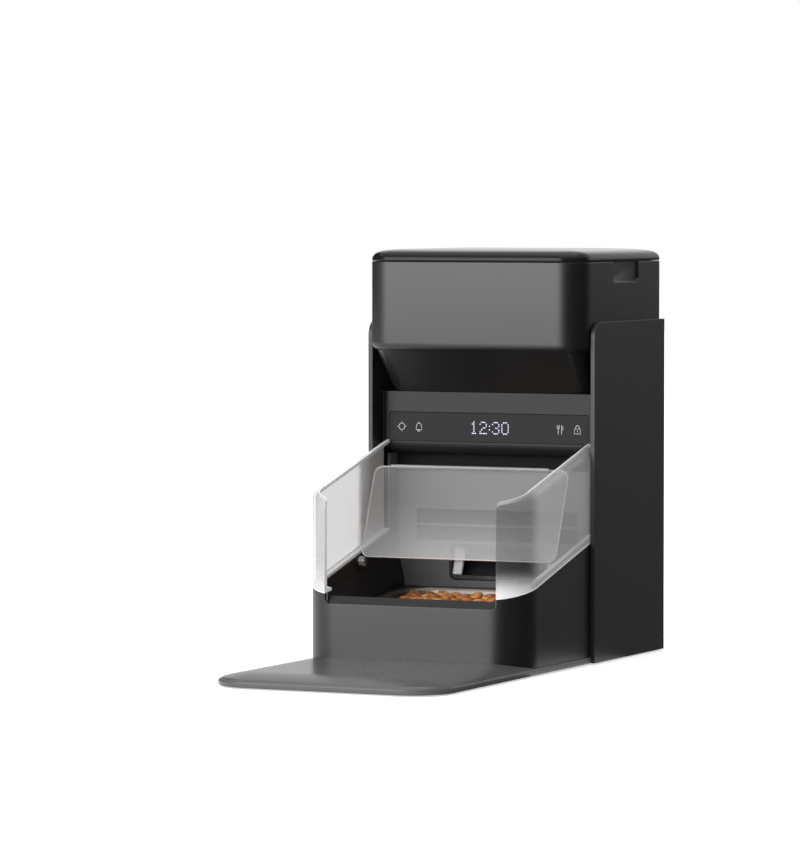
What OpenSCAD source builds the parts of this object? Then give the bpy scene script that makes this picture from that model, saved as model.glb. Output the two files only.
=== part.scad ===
// Pet feeder that opens for one tagged animal: a dry-food tank over a covered bowl, on a floor mat.
// Millimetres. X runs across, Y runs back, Z runs up from the table. X = 0 is the mirror plane.

/* [Overall] */
// How far the floor mat reaches out ahead of the body
mat_reach = 152.8; // [120:0.1:180]
// Depth of the tower, from the bay's back wall to the back of the rear shell
tower_l = 110; // [109:0.5:130]
// Width across the rear shell
shell_w = 190.8; // [176:0.1:220]
// Wall of the rear shell
shell_t = 3.6; // [3:0.1:4]
// How far the wings reach up past the foot of the tank's upright walls
wing_over = 20.6; // [4:0.1:50]
// Radius of the wings' upper front corners
wing_r = 12; // [6:0.5:20]
// How far the wings' front edges stand ahead of the fascia
wing_lead = 14.4; // [10:0.1:24]
// Assembly gap between neighbouring mouldings
fit = 0.3; // [0.2:0.05:0.4]

/* [Floor mat] */
// Thickness of the mat at its crown
mat_t = 9.7; // [8:0.1:12]
// Thickness of the mat at its edge
mat_edge_t = 4.9; // [4:0.1:6]
// How far the mat reaches past each side of the body
mat_lip = 1.5; // [0.5:0.1:3]
// Radius of the mat's front corners
mat_r = 32; // [24:1:40]
// Width over which the mat's top rolls off towards its edge
mat_roll = 30; // [22:1:34]
// How far the rubber feet lift the mat off the table
foot_h = 1.2; // [1:0.1:2]
// Radius of a rubber foot
foot_r = 8; // [6:0.5:10]
// Depth of the pocket that holds a foot
foot_pocket = 1; // [0.8:0.1:1.5]

/* [Body housing] */
// Wall of the body housing
wall = 2.5; // [2:0.1:3.2]
// Radius of the body's upright front corners
body_r = 30.8; // [26:0.1:38]
// Height of the sloping rim at the body's front face
rim_front_z = 57.5; // [55:0.1:66]
// Slope of the rim, up towards the back, in degrees
rim_tilt = 15; // [12:0.1:18]
// Width of the notch in the front wall's top edge
notch_w = 141; // [130:0.5:146]
// Depth of the notch below the rim
notch_d = 6.5; // [5:0.1:8]
// Radius of the notch's lower corners
notch_r = 4; // [2:0.5:5]
// Radius of a screw boss
boss_r = 4; // [3.5:0.1:4.5]
// Radius of a screw's shank
screw_r = 1.5; // [1.25:0.05:1.75]

/* [Feeding bay] */
// Width of the hollow in each side wall, where the flap's push rod runs
side_gap = 3.2; // [3:0.1:6]
// Depth of the bay from the body's front face to its back wall
bay_depth = 159.2; // [150:0.1:175]
// Wall of the bowl tray and of the bay's back panel
tray_t = 1.8; // [1.5:0.1:2]
// Width of the food outlet in the back wall
outlet_w = 80; // [60:1:81]
// Height of the food outlet
outlet_h = 28; // [22:0.5:29]
// Height of the outlet's lower edge above the back of the bowl's seat
outlet_sill = 6.3; // [6:0.1:12]
// Width of the two shallow channels in the back wall
channel_w = 136; // [120:1:140]
// Height of one channel
channel_h = 11; // [8:0.5:11.5]
// Height of the lower channel above the food outlet
channel_rise = 2.7; // [2.6:0.1:8]
// Thickness of the ridge between the channels
channel_gap = 2; // [1.5:0.1:3]

/* [Clear shields] */
// Upright height of a shield above the rim
shield_h = 71.8; // [66:0.1:73]
// Wall of a shield
shield_t = 2.5; // [2:0.1:3]
// How far a shield's rolled top edge leans inwards
roll_in = 8; // [6:0.1:9]
// Height of a shield's rolled top edge
roll_h = 5.8; // [4.5:0.1:8]
// Width of a shield's foot flange
shield_foot_w = 7.5; // [6:0.1:8]
// Radius of a shield's upper front corner
shield_r = 4; // [2:0.5:6]

/* [Flap] */
// Distance of the flap's hinge behind the body's front face
hinge_set = 85; // [76:0.1:92]
// Depth of the hinge axis under the rim plane, measured upright
hinge_drop = 3.4; // [3:0.1:5]
// How far the shut flap's free edge stays behind the body's front face
flap_set = 8.1; // [8:0.1:16]
// Gap between the flap and the bay's side wall
flap_gap = 2.5; // [2:0.1:6]
// Thickness of the flap
flap_t = 2.2; // [1.8:0.1:2.6]
// Depth of the turned border along the flap's free edge
flap_border = 4; // [3:0.1:5]
// Radius of the flap's free corners
flap_r = 6.8; // [6.6:0.1:14]
// Slope of the shut flap, up towards its hinge, in degrees
flap_shut = 8.8; // [4:0.1:9]
// How far the open flap leans back from upright, in degrees
flap_lean = 21.4; // [12:0.1:26]
// Radius of the hinge pins
pin_r = 2.2; // [1.8:0.1:2.4]
// Running clearance round pins and shafts
run_gap = 0.05; // [0.03:0.01:0.08]
// Throw of the flap's drive crank
crank_throw = 7; // [6:0.1:7.5]
// How far the motor crank's axis lies behind the bay's back wall
motor_set = 9; // [8:0.1:14]

/* [Bowl] */
// Gap between the bowl's rolled rim and the bay's side wall
bowl_gap = 8; // [7.5:0.5:16]
// How far the bowl's front edge lies behind the body's front face
bowl_set = 14.2; // [14:0.1:24]
// Depth of the bowl
bowl_d = 27; // [22:0.5:28]
// Sheet thickness of the bowl
bowl_t = 0.9; // [0.7:0.1:1.2]
// Width of the bowl's rim
bowl_rim = 5; // [4:0.1:6]
// Radius of the bowl's corners at the rim
bowl_r = 34; // [24:1:40]
// Height of the bowl's seat at its back edge
seat_z = 52.2; // [50:0.1:54]
// Slope of the bowl's seat, in degrees
seat_tilt = 5.5; // [4:0.1:6.5]

/* [Tower and fascia] */
// How far the fascia stands ahead of the bay's back wall
fascia_lead = 15.7; // [14:0.1:24]
// Thickness of the fascia
fascia_t = 2.7; // [2.4:0.1:3.2]
// Height of the fascia's lower edge
fascia_z0 = 157; // [150:0.1:162]
// Height of the fascia itself, up to the seam under the tank
fascia_h = 48.3; // [46:0.1:60]
// Radius of the fascia's upright ends
fascia_r = 6; // [4:0.5:8]
// Radius of the fascia's rolled lower edge
fascia_roll = 9; // [6:0.5:10]
// Height of the display window above the fascia's lower edge
window_lift = 10; // [9.5:0.1:14]
// Height of the display window
window_h = 22; // [18:0.1:24]
// Width of plain fascia at each end of the display window
window_inset = 7.5; // [7:0.5:20]
// Thickness of the display window
window_t = 1; // [0.8:0.1:1.2]

/* [Tank and lid] */
// How far the tank's front stands ahead of the fascia
tank_lead = 33; // [24:0.1:42]
// Gap between the tank and a wing
tank_gap = 0.5; // [0.3:0.1:1]
// Radius of the tank's front corners
tank_r = 21.7; // [18:0.1:26]
// Wall of the tank
tank_t = 2.2; // [1.8:0.1:2.6]
// Height of the tank's funnel
funnel_h = 34.7; // [30:0.1:44]
// Height of the tank's upright walls, from the funnel to the seam under the lid
tank_h = 66.2; // [50:0.1:90]
// Thickness of the lid's upright edge
lid_edge = 4.5; // [3.5:0.1:6]
// Height of the lid's crown above its upright edge
lid_crown = 5.5; // [4:0.1:8]
// Width of the tank's throat
throat_w = 76; // [60:1:76]
// Length of the tank's throat, front to back
throat_l = 50; // [40:1:52]
// Length of the finger recess under the lid
grip_l = 50.6; // [40:0.5:60]
// Height of the finger recess
grip_h = 16; // [10:0.5:20]

/* [Feed works] */
// Distance of the rotor's axis behind the bay's back wall
rotor_set = 53; // [52:0.1:54]
// Radius of the rotor chamber
chamber_r = 36; // [34:0.5:36.5]
// Wall of the rotor chamber
chamber_t = 2.2; // [1.8:0.1:2.4]
// Length of the rotor chamber
chamber_w = 84; // [82:1:88]
// Number of vanes on the rotor
vanes = 6; // [5:1:8]
// Radius of the rotor shaft
shaft_r = 3; // [2.5:0.1:4]
// Diameter of one battery bay
cell_d = 34.6; // [34.2:0.1:35]
// Length of one battery bay
cell_l = 61.5; // [61.5:0.1:63]
// Radius of the round opening in the power inlet
inlet_r = 2.8; // [2.4:0.05:3.2]

/* [Hidden] */
$fn = 64;
cut = 1;

// Far enough to pass through a whole moulding
far = 120;

// Stations along the length
total_l = mat_reach + bay_depth + tower_l;
y_mat = -total_l / 2;
y_back = total_l / 2;
y_body = y_mat + mat_reach;
y_bay = y_body + bay_depth;
y_fascia = y_bay - fascia_lead;
y_wing = y_fascia - wing_lead;
y_tank = y_fascia - tank_lead;
y_hinge = y_body + hinge_set;
y_seat = y_bay - 2 * fit - 2.4;
y_in = y_back - shell_t - fit;
y_rotor = y_bay + tray_t + rotor_set;

// Half widths
shell_hw = shell_w / 2;
body_hw = shell_hw - shell_t - fit;
tray_hw = body_hw - wall - side_gap;
bay_hw = tray_hw - tray_t;
tank_hw = shell_hw - shell_t - tank_gap;
notch_hw = notch_w / 2;

// Heights
z_land = foot_h + mat_edge_t;
outlet_z = seat_z + outlet_sill;
channel_z = outlet_z + outlet_h + channel_rise;
z_tower = rim_z(y_fascia);
window_z0 = fascia_z0 + window_lift;
z_deck = fascia_z0 + fascia_h;
z_tank = z_deck + fit;
funnel_z = z_deck + funnel_h;
seam_z = funnel_z + tank_h;
shell_top_z = funnel_z + wing_over;
z_hinge = rim_z(y_hinge) - hinge_drop;
z_rotor = z_deck - chamber_r - chamber_t - 3;

// Sizes that follow from the ones above
mat_w = 2 * (body_hw + mat_lip);
flap_w = 2 * (bay_hw - flap_gap);
flap_l = hinge_set - flap_set;
flap_swing = 90 + flap_lean + flap_shut;
rod_l = (bay_depth + tray_t + motor_set - hinge_set) / cos(rim_tilt);
bowl_w = 2 * (bay_hw - bowl_gap);
bowl_l = y_seat - y_body - bowl_set;
window_w = 2 * (body_hw - window_inset);

// Height of the sloping rim at a station
function rim_z(y) = rim_front_z + (y - y_body) * tan(rim_tilt);
// Height of the bowl's seat at a station
function bowl_z(y) = seat_z + (y - y_seat) * tan(seat_tilt);

// Outline in plan: half width, front and back stations, front and back corner radii
module plan(hw, y0, y1, rf, rb) {
    translate([-hw, y0 + rf]) square([2 * hw, y1 - y0 - rf - rb]);
    translate([rf - hw, y0]) square([2 * (hw - rf), (y1 - y0) / 2]);
    translate([rb - hw, (y0 + y1) / 2]) square([2 * (hw - rb), (y1 - y0) / 2]);
    for (s = [-1, 1]) {
        translate([s * (hw - rf), y0 + rf]) circle(rf);
        translate([s * (hw - rb), y1 - rb]) circle(rb);
    }
}

// The body's outline, drawn in by d
module body_plan(d, y1) {
    plan(body_hw - d, y_body + d, y1, body_r - d, 0.01);
}

// A prism across the whole width whose side view is the given polygon of [y, z] points
module across(points, hw = far) {
    translate([-hw, 0, 0]) rotate([90, 0, 90]) linear_extrude(2 * hw) polygon(points);
}

// The slab between two heights above the sloping rim plane
module rim_slab(z0, z1, ya = y_body - 10, yb = y_bay + 10) {
    across([[ya, rim_z(ya) + z0], [yb, rim_z(yb) + z0], [yb, rim_z(yb) + z1], [ya, rim_z(ya) + z1]]);
}

// The slab between two heights above the bowl's seat plane
module seat_slab(z0, z1, ya = y_body - 10, yb = y_bay + 10) {
    across([[ya, bowl_z(ya) + z0], [yb, bowl_z(yb) + z0], [yb, bowl_z(yb) + z1], [ya, bowl_z(ya) + z1]]);
}

// Points of one corner's arc about [x, y] at height z, from angle a0
corner_steps = 12;
function arc(x, y, r, a0, z) = [for (k = [0 : corner_steps]) let (a = a0 + 90 * k / corner_steps)
    [x + r * cos(a), y + r * sin(a), z]];

// A rounded outline at height z: half width, front and back stations, front and back corner radii
function ring(hw, y0, y1, rf, rb, z) = concat(arc(hw - rf, y0 + rf, rf, -90, z), arc(hw - rb, y1 - rb,
    rb, 0, z),
    arc(rb - hw, y1 - rb, rb, 90, z), arc(rf - hw, y0 + rf, rf, 180, z));

// A solid skinned over outlines that are stacked from the bottom up
module loft(rings) {
    n = len(rings[0]);
    top = n * (len(rings) - 1);
    polyhedron([for (r = rings) each r], concat([[for (k = [0 : n - 1]) k]],
        [[for (k = [1 : n]) top + n - k]],
        [for (i = [0 : len(rings) - 2], k = [0 : n - 1])
            let (a = i * n + k, b = i * n + (k + 1) % n) each [[a, a + n, b + n], [a, b + n, b]]]));
}

// A rounded rectangle centred on the origin
module rounded(w, h, r) {
    square([w - 2 * r, h], center = true);
    square([w, h - 2 * r], center = true);
    for (sx = [-1, 1], sy = [-1, 1]) translate([sx * (w / 2 - r), sy * (h / 2 - r)]) circle(r);
}

// A cylinder along X, from x0 to x1
module rod_x(r, x0, x1, y, z) {
    translate([x0, y, z]) rotate([0, 90, 0]) cylinder(r = r, h = x1 - x0);
}

// A cylinder along Y, from y0 to y1
module rod_y(r, y0, y1, x, z) {
    translate([x, y1, z]) rotate([90, 0, 0]) cylinder(r = r, h = y1 - y0);
}

// A box from one corner to the other
module block(a, b) {
    translate(a) cube(b - a);
}

// Floor mat and base
screw_x = body_hw - wall - boss_r - 3;
screw_ys = [y_body + body_r + 6, y_wing - 20, y_in - 14];
foot_x = body_hw - foot_r - 12;
foot_ys = [y_mat + mat_r + 4, y_body + 10, y_in - 40];
screw_head_r = 2 * screw_r;
screw_head_h = 2;
boss_h = 16;

mat_steps = 8;

// Points [x, z] of the mat's edge from its crown outwards, for an edge at x = r
function mat_edge(r) = concat(
    [for (i = [0 : mat_steps - 1]) let (d = mat_roll * (1 - i / mat_steps))
        [r - d, mat_edge_t + (mat_t - mat_edge_t) * (1 - pow(1 - d / mat_roll, 2))]],
    [[r - 1.6, mat_edge_t], [r - 0.5, mat_edge_t - 0.5], [r, mat_edge_t - 1.6], [r, 0.8], [r - 0.8, 0]]);

module mat_body() {
    hw = mat_w / 2;
    side = mat_edge(hw);
    last = len(side) - 1;
    translate([0, y_in, 0]) rotate([90, 0, 0]) linear_extrude(y_in - y_mat - mat_r)
        polygon(concat(side, [for (i = [0 : last]) [-side[last - i][0], side[last - i][1]]]));
    across(concat([[y_mat + mat_r, 0], [y_mat + mat_r, mat_t]], [for (p = mat_edge(0)) [y_mat - p[0],
        p[1]]]),
        hw - mat_r);
    for (s = [0, 1]) mirror([s, 0, 0]) translate([hw - mat_r, y_mat + mat_r, 0]) rotate([0, 0, -90])
        rotate_extrude(angle = 90) polygon(concat([[0, 0], [0, mat_t]], mat_edge(mat_r)));
}

module base_plate() {
    color("#6b6b6b") difference() {
        translate([0, 0, foot_h]) mat_body();
        translate([0, 0, z_land]) linear_extrude(mat_t)
            plan(body_hw + fit, y_body - fit, y_in + cut, body_r + fit, 0.01);
        for (s = [-1, 1]) translate([s * (body_hw + 10), (y_wing - fit + y_back) / 2, z_land])
            cube([20, y_back - y_wing + fit, 4 * mat_t], center = true);
        for (s = [-1, 1], y = foot_ys) translate([s * foot_x, y, foot_h - cut])
            cylinder(r = foot_r + fit, h = foot_pocket + cut);
        for (s = [-1, 1], y = screw_ys) translate([s * screw_x, y, foot_h - cut]) {
            cylinder(r = screw_r + 0.3, h = mat_t + 2 * cut);
            cylinder(r = screw_head_r + 0.3, h = screw_head_h + 0.4 + cut);
        }
    }
}

module rubber_feet() {
    color("#202020") for (s = [-1, 1], y = foot_ys) translate([s * foot_x, y, 0])
        rotate_extrude() polygon([[0, 0], [foot_r - 0.6, 0], [foot_r, 0.6], [foot_r, foot_h + foot_pocket],
            [0, foot_h + foot_pocket]]);
}

// Body housing
inlet_x = -body_hw + 26;
inlet_z = z_land + 24;
box_hw = 1.5 * cell_d + 3;
box_z0 = z_land + 7;
box_z1 = box_z0 + cell_d + 4;
door_hw = box_hw - 2;
door_z0 = box_z0 + 1;
door_z1 = box_z1 - 1;
y_split = y_wing + 10;

module door_hole(gap, y0, y1) {
    translate([0, y1, (door_z0 + door_z1) / 2]) rotate([90, 0, 0]) linear_extrude(y1 - y0)
        rounded(2 * (door_hw + gap), door_z1 - door_z0 + 2 * gap, 3 + gap);
}

module housing_walls() {
    difference() {
        union() {
            difference() {
                translate([0, 0, z_land]) linear_extrude(z_tower - z_land) body_plan(0, y_in);
                translate([0, 0, z_land - cut]) linear_extrude(z_tower) body_plan(wall, y_in - wall);
            }
            for (s = [-1, 1], y = screw_ys) {
                translate([s * screw_x, y, z_land]) cylinder(r = boss_r, h = boss_h);
                block([min(s * screw_x, s * (body_hw - 1)), y - 1, z_land],
                    [max(s * screw_x, s * (body_hw - 1)), y + 1, z_land + boss_h - 2]);
            }
        }
        rim_slab(0, 100, y_body - 10, y_fascia);
        translate([0, y_body + wall + cut, rim_front_z + 20]) rotate([90, 0, 0])
            linear_extrude(wall + 2 * cut)
            rounded(2 * notch_hw, 2 * (20 + notch_d), notch_r);
        for (s = [-1, 1], y = screw_ys) translate([s * screw_x, y, z_land - cut])
            cylinder(r = screw_r + run_gap, h = boss_h - 3);
        rod_y(5.2 + fit, y_in - wall - cut, y_in + cut, inlet_x, inlet_z);
        door_hole(fit, y_in - wall - cut, y_in + cut);
    }
}

// The housing is moulded in two halves that meet behind the wings' front edges
module body_housing() {
    color("#3c3c3c") intersection() {
        housing_walls();
        block([-shell_hw, y_body - cut, 0], [shell_hw, y_split, shell_top_z]);
    }
}

module rear_housing() {
    color("#2e2e2e") intersection() {
        housing_walls();
        block([-shell_hw, y_split + fit, 0], [shell_hw, y_back, shell_top_z]);
    }
}

module screw(head_r, head_h, r, l) {
    cylinder(r1 = head_r * 0.8, r2 = head_r, h = head_h);
    cylinder(r = r, h = l);
}

module housing_screws() {
    color("#9a9a9a") for (s = [-1, 1], y = screw_ys) translate([s * screw_x, y, foot_h + 0.3])
        difference() {
            screw(screw_head_r, screw_head_h, screw_r, z_land - foot_h + boss_h - 5);
            translate([0, 0, -cut]) cylinder(r = screw_r * 0.7, h = cut + 1, $fn = 6);
        }
}

// Bowl tray: the black insert that carries the bowl, with the sloping lip at the front
tray_y0 = y_body + wall + fit;
tray_y1 = y_bay - fit;
tray_r = body_r - (body_hw - tray_hw);
pocket_hw = bowl_w / 2 - bowl_rim + 0.6;
pocket_y0 = y_seat - bowl_l + bowl_rim - 0.6;
pocket_y1 = y_seat - bowl_rim + 0.6;
pocket_r = bowl_r - bowl_rim + 0.6;
pocket_d = bowl_d + 0.6;
lip_z = rim_front_z - notch_d;
lip_rise = 5.2;
lip_run = 5.6;
rim_flange = 1.4;
hinge_boss_r = pin_r + 1.8;

module tray_plan(d, y1 = tray_y1) {
    plan(tray_hw - d, tray_y0 + d, y1, tray_r - d, 0.01);
}

// The tray's side wall leans in below its upright band, down to the bowl's seat
cove_top = 13;
cove_foot = pocket_hw + bowl_rim + 2;

module cove() {
    drop = z_hinge + hinge_drop - cove_top - bowl_z(y_hinge);
    intersection() {
        translate([0, 0, z_land]) linear_extrude(far) tray_plan(tray_t / 2);
        seat_slab(-tray_t / 2, 60);
        translate([0, y_hinge, bowl_z(y_hinge) + drop]) rotate([(rim_tilt + seat_tilt) / 2, 0, 0])
            translate([0, 100, 0]) rotate([90, 0, 0]) linear_extrude(200)
                polygon([[bay_hw + 1, 0], [bay_hw, 0], [cove_foot, -drop], [cove_foot, -drop - 12],
                    [bay_hw + 1, -drop - 12]]);
    }
}

module bowl_tray() {
    color("#1b1b1b") difference() {
        union() {
            intersection() {
                translate([0, 0, z_land]) linear_extrude(far) difference() {
                    tray_plan(0);
                    tray_plan(tray_t, tray_y1 + cut);
                }
                seat_slab(-tray_t, 100);
                rim_slab(-80, 0);
            }
            intersection() {
                translate([0, 0, z_land]) linear_extrude(far) tray_plan(0);
                seat_slab(-tray_t, 0);
            }
            intersection() {
                translate([0, 0, z_land]) linear_extrude(far)
                    plan(pocket_hw + tray_t, pocket_y0 - tray_t, pocket_y1 + tray_t, pocket_r + tray_t,
                        pocket_r + tray_t);
                seat_slab(-pocket_d - tray_t, 0);
            }
            intersection() {
                translate([0, 0, z_land]) linear_extrude(far) difference() {
                    body_plan(wall + fit, tray_y1);
                    tray_plan(tray_t, tray_y1 + cut);
                }
                rim_slab(-rim_flange, 0);
            }
            intersection() {
                translate([0, 0, z_land]) linear_extrude(far) tray_plan(0);
                across([[tray_y0, lip_z - 2], [tray_y0, lip_z], [tray_y0 + lip_run, lip_z + lip_rise],
                    [tray_y0 + lip_run + 1.4, lip_z + lip_rise - 0.4], [tray_y0 + lip_run + 1.8,
                        bowl_z(tray_y0)],
                    [tray_y0, bowl_z(tray_y0) - 1]]);
            }
            for (s = [0, 1]) mirror([s, 0, 0]) {
                intersection() {
                    rod_x(hinge_boss_r, flap_w / 2 + 1, bay_hw + 1, y_hinge, z_hinge);
                    rim_slab(-80, 0);
                }
                cove();
            }
        }
        intersection() {
            translate([0, 0, z_land]) linear_extrude(far)
                plan(pocket_hw, pocket_y0, pocket_y1, pocket_r, pocket_r);
            seat_slab(-pocket_d, 1);
        }
        across([[tray_y0 - 10, lip_z], [tray_y0, lip_z], [tray_y0 + lip_run, lip_z + lip_rise],
            [tray_y0 + lip_run, lip_z + 60], [tray_y0 - 10, lip_z + 60]], notch_hw);
        for (s = [0, 1]) mirror([s, 0, 0]) rod_x(pin_r + run_gap, flap_w / 2, tray_hw + cut, y_hinge,
            z_hinge);
        rod_x(pin_r + 0.4, tray_hw, body_hw, y_hinge, z_hinge);
    }
}

// Back wall of the bay, with its short cheeks, ceiling, food outlet and two shallow channels
channel_d = 4;
channel_pitch = channel_h + channel_gap;
y_channel = y_bay + channel_d + tray_t;

module bay_back_panel() {
    z0 = seat_z + 0.6;
    z1 = fascia_z0 + 6;
    color("#2c2c2c") difference() {
        union() {
            block([-tray_hw, y_bay, z0], [tray_hw, y_bay + tray_t, z1]);
            for (k = [0, 1]) block([-channel_w / 2 - 2, y_bay, channel_z - 2 + k * channel_pitch],
                [channel_w / 2 + 2, y_channel, channel_z + 2 + channel_h + k * channel_pitch]);
            difference() {
                for (s = [-1, 1]) block([s * (bay_hw + tray_t / 2) - tray_t / 2, y_fascia + fit, z0 - 30],
                    [s * (bay_hw + tray_t / 2) + tray_t / 2, y_bay + tray_t, z1]);
                rim_slab(-200, fit);
                block([-tray_hw - cut, y_fascia, fascia_z0 - fit], [tray_hw + cut,
                    y_fascia + fascia_roll + fit, z1 + cut]);
            }
            block([-tray_hw, y_fascia + fascia_roll + fit, z1 - tray_t], [tray_hw, y_bay + tray_t, z1]);
        }
        for (k = [0, 1]) block([-channel_w / 2, y_bay - cut, channel_z + k * channel_pitch],
            [channel_w / 2, y_bay + channel_d, channel_z + channel_h + k * channel_pitch]);
        translate([0, y_bay + tray_t + cut, outlet_z + outlet_h / 2]) rotate([90, 0, 0])
            linear_extrude(tray_t + 2 * cut) rounded(outlet_w, outlet_h, 5);
    }
}

// Stepped black frame set in the food outlet
module outlet_bezel() {
    w = outlet_w - 2 * fit;
    h = outlet_h - 2 * fit;
    color("#0d0d0d") translate([0, 0, outlet_z + outlet_h / 2]) difference() {
        union() {
            translate([0, y_bay + tray_t, 0]) rotate([90, 0, 0]) linear_extrude(tray_t)
                rounded(w, h, 5 - fit);
            translate([0, y_bay + tray_t + 1.6, 0]) rotate([90, 0, 0]) linear_extrude(1.6)
                rounded(outlet_w + 3, outlet_h + 0.8, 5.8);
        }
        translate([0, y_bay + tray_t - 0.6, 0]) rotate([90, 0, 0]) linear_extrude(4)
            rounded(w - 4, h - 4, 4);
        translate([0, y_bay + 6, 0]) rotate([90, 0, 0]) linear_extrude(10) rounded(w - 8, h - 7, 3);
    }
}

// Clear side shield, right hand; the left one is its mirror image
roll_steps = 4;
bend_steps = 12;
shield_y1 = y_fascia - fit;
bend_x = body_hw - body_r;
bend_y = y_body + body_r;
bend_a0 = asin((notch_hw - bend_x) / body_r);

// Stations along the outline: angles round the front bend, closer together at the rounded end
end_a = [0, 0.15, 0.45, 1] * shield_r * 180 / (PI * body_r);
shield_stations = concat([for (a = end_a) bend_a0 + a],
    [for (k = [1 : bend_steps]) let (a1 = bend_a0 + end_a[3]) a1 + (90 - a1) * k / bend_steps]);
n_st = len(shield_stations);

// Height and reach of the rolled edge at angle a, as shares of their full values
function roll_left(a) = let (u = max(0, 1 - (a - bend_a0) / end_a[3]))
    1 - shield_r / roll_h * (1 - sqrt(1 - u * u));
function roll_reach(a) = 0.35 + 0.65 * (a - bend_a0) / (90 - bend_a0);

// Cross section at angle a as [distance in from the outer face, height above the rim], outer side first
function roll_points(d, reach, rise) = [for (k = [1 : roll_steps]) let (b = 90 * k / roll_steps)
    [d + (reach - d) * (1 - cos(b)), shield_h - roll_h + rise * sin(b)]];
function shield_loop(a) = let (reach = roll_in * roll_reach(a), rise = roll_h * roll_left(a),
    inner = concat([[shield_foot_w, fit], [shield_foot_w, shield_t], [shield_t, shield_t],
        [shield_t, shield_h - roll_h]], roll_points(shield_t, reach, rise * (1 - shield_t / roll_h))),
    n_in = len(inner))
    concat([[0, fit], [0, shield_t], [0, shield_h - roll_h]], roll_points(0, reach, rise),
        [for (k = [1 : n_in]) inner[n_in - k]]);
n_loop = 7 + 2 * roll_steps;

shield_points = concat(
    [for (a = shield_stations, p = shield_loop(a))
        let (y = bend_y - (body_r - p[0]) * cos(a)) [bend_x + (body_r - p[0]) * sin(a), y,
            rim_z(y) + p[1]]],
    [for (p = shield_loop(90)) [body_hw - p[0], shield_y1, rim_z(shield_y1) + p[1]]]);
function loop_in(k) = n_loop - 1 - k;
shield_cap = concat([[0, 1, loop_in(2)], [0, loop_in(2), loop_in(1)], [0, loop_in(1), loop_in(0)]],
    [for (k = [1 : roll_steps + 1]) each [[k, k + 1, loop_in(k + 2)], [k, loop_in(k + 2),
        loop_in(k + 1)]]]);
shield_sides = [for (i = [0 : n_st - 1], k = [0 : n_loop - 1])
    let (a = i * n_loop + k, b = i * n_loop + (k + 1) % n_loop, c = a + n_loop, d = b + n_loop)
        each [[a, b, c], [b, d, c]]];

module shield() {
    union() {
        polyhedron(shield_points, concat([for (t = shield_cap) [t[0], t[2], t[1]]],
            [for (t = shield_cap) t + [1, 1, 1] * n_st * n_loop], shield_sides));
        intersection() {
            block([body_hw - shield_foot_w, shield_y1 - shield_t, 0], [body_hw - shield_t / 2,
                shield_y1, 220]);
            rim_slab(shield_t / 2, shield_h - roll_h);
        }
    }
}

module right_shield() {
    color("#dcdcdc", 0.45) shield();
}

module left_shield() {
    color("#dcdcdc", 0.45) mirror([1, 0, 0]) shield();
}

// Rear shell: two wings joined by the back, wrapped round the body from behind
shell_r = 1.5;
shell_screw_z = z_tower + 24;
shell_screw_x = 60;

module rear_shell() {
    color("#333333") difference() {
        translate([0, 0, foot_h]) linear_extrude(shell_top_z - foot_h) difference() {
            plan(shell_hw, y_wing, y_back, 0.01, shell_r);
            plan(shell_hw - shell_t, y_wing - cut, y_back - shell_t, 0.01, 0.01);
        }
        block([-shell_hw + shell_t, y_back - shell_t - cut, z_deck], [shell_hw - shell_t, y_back + cut,
            shell_top_z + cut]);
        for (s = [-1, 1]) difference() {
            block([s * shell_hw - shell_t - cut, y_wing - cut, shell_top_z - wing_r],
                [s * shell_hw + shell_t + cut, y_wing + wing_r, shell_top_z + cut]);
            rod_x(wing_r, s * shell_hw - 3 * shell_t, s * shell_hw + 3 * shell_t, y_wing + wing_r,
                shell_top_z - wing_r);
        }
        rod_y(6.5, y_back - shell_t - cut, y_back + cut, inlet_x, inlet_z);
        door_hole(fit, y_back - shell_t - cut, y_back + cut);
        for (s = [-1, 1]) {
            rod_y(screw_r + 0.3, y_back - shell_t - cut, y_back + cut, s * shell_screw_x, shell_screw_z);
            rod_y(screw_head_r + 0.3, y_back - 2.2, y_back + cut, s * shell_screw_x, shell_screw_z);
        }
    }
}

module shell_screws() {
    color("#9a9a9a") for (s = [-1, 1]) translate([s * shell_screw_x, y_back - 0.2, shell_screw_z])
        rotate([90, 0, 0]) screw(screw_head_r, 1.8, screw_r, shell_t + 5);
}

// Tower: side walls, back and top deck behind the fascia
post_x = 52;
post_zs = [shell_screw_z, z_deck - 29.3];
board_y = y_in - 10;
board_hw = post_x + 3.5;

module tower_housing() {
    y0 = y_fascia + fascia_t + fit;
    color("#2e2e2e") difference() {
        union() {
            translate([0, 0, z_tower + fit]) linear_extrude(z_deck - z_tower - fit) difference() {
                plan(body_hw - 0.2, y0, y_in, 0.01, 4);
                plan(body_hw - wall, y0 - cut, y_in - wall, 0.01, 2);
            }
            translate([0, 0, z_deck - wall]) linear_extrude(wall) plan(body_hw - 0.2, y0, y_in, 0.01, 4);
            for (s = [-1, 1], z = post_zs) rod_y(3.5, board_y + 1.6, y_in - 1, s * post_x, z);
            for (s = [-1, 1]) rod_y(4, y_in - 9, y_in - 1, s * shell_screw_x, shell_screw_z);
        }
        translate([0, y_rotor, z_deck - wall - cut]) linear_extrude(wall + 2 * cut)
            rounded(throat_w + 4, throat_l + 4, 5);
        for (s = [-1, 1], z = post_zs) rod_y(1.1 + run_gap, board_y - cut, board_y + 8, s * post_x, z);
        for (s = [-1, 1]) rod_y(screw_r + run_gap, y_in - 8, y_in + cut, s * shell_screw_x, shell_screw_z);
    }
}

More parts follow.
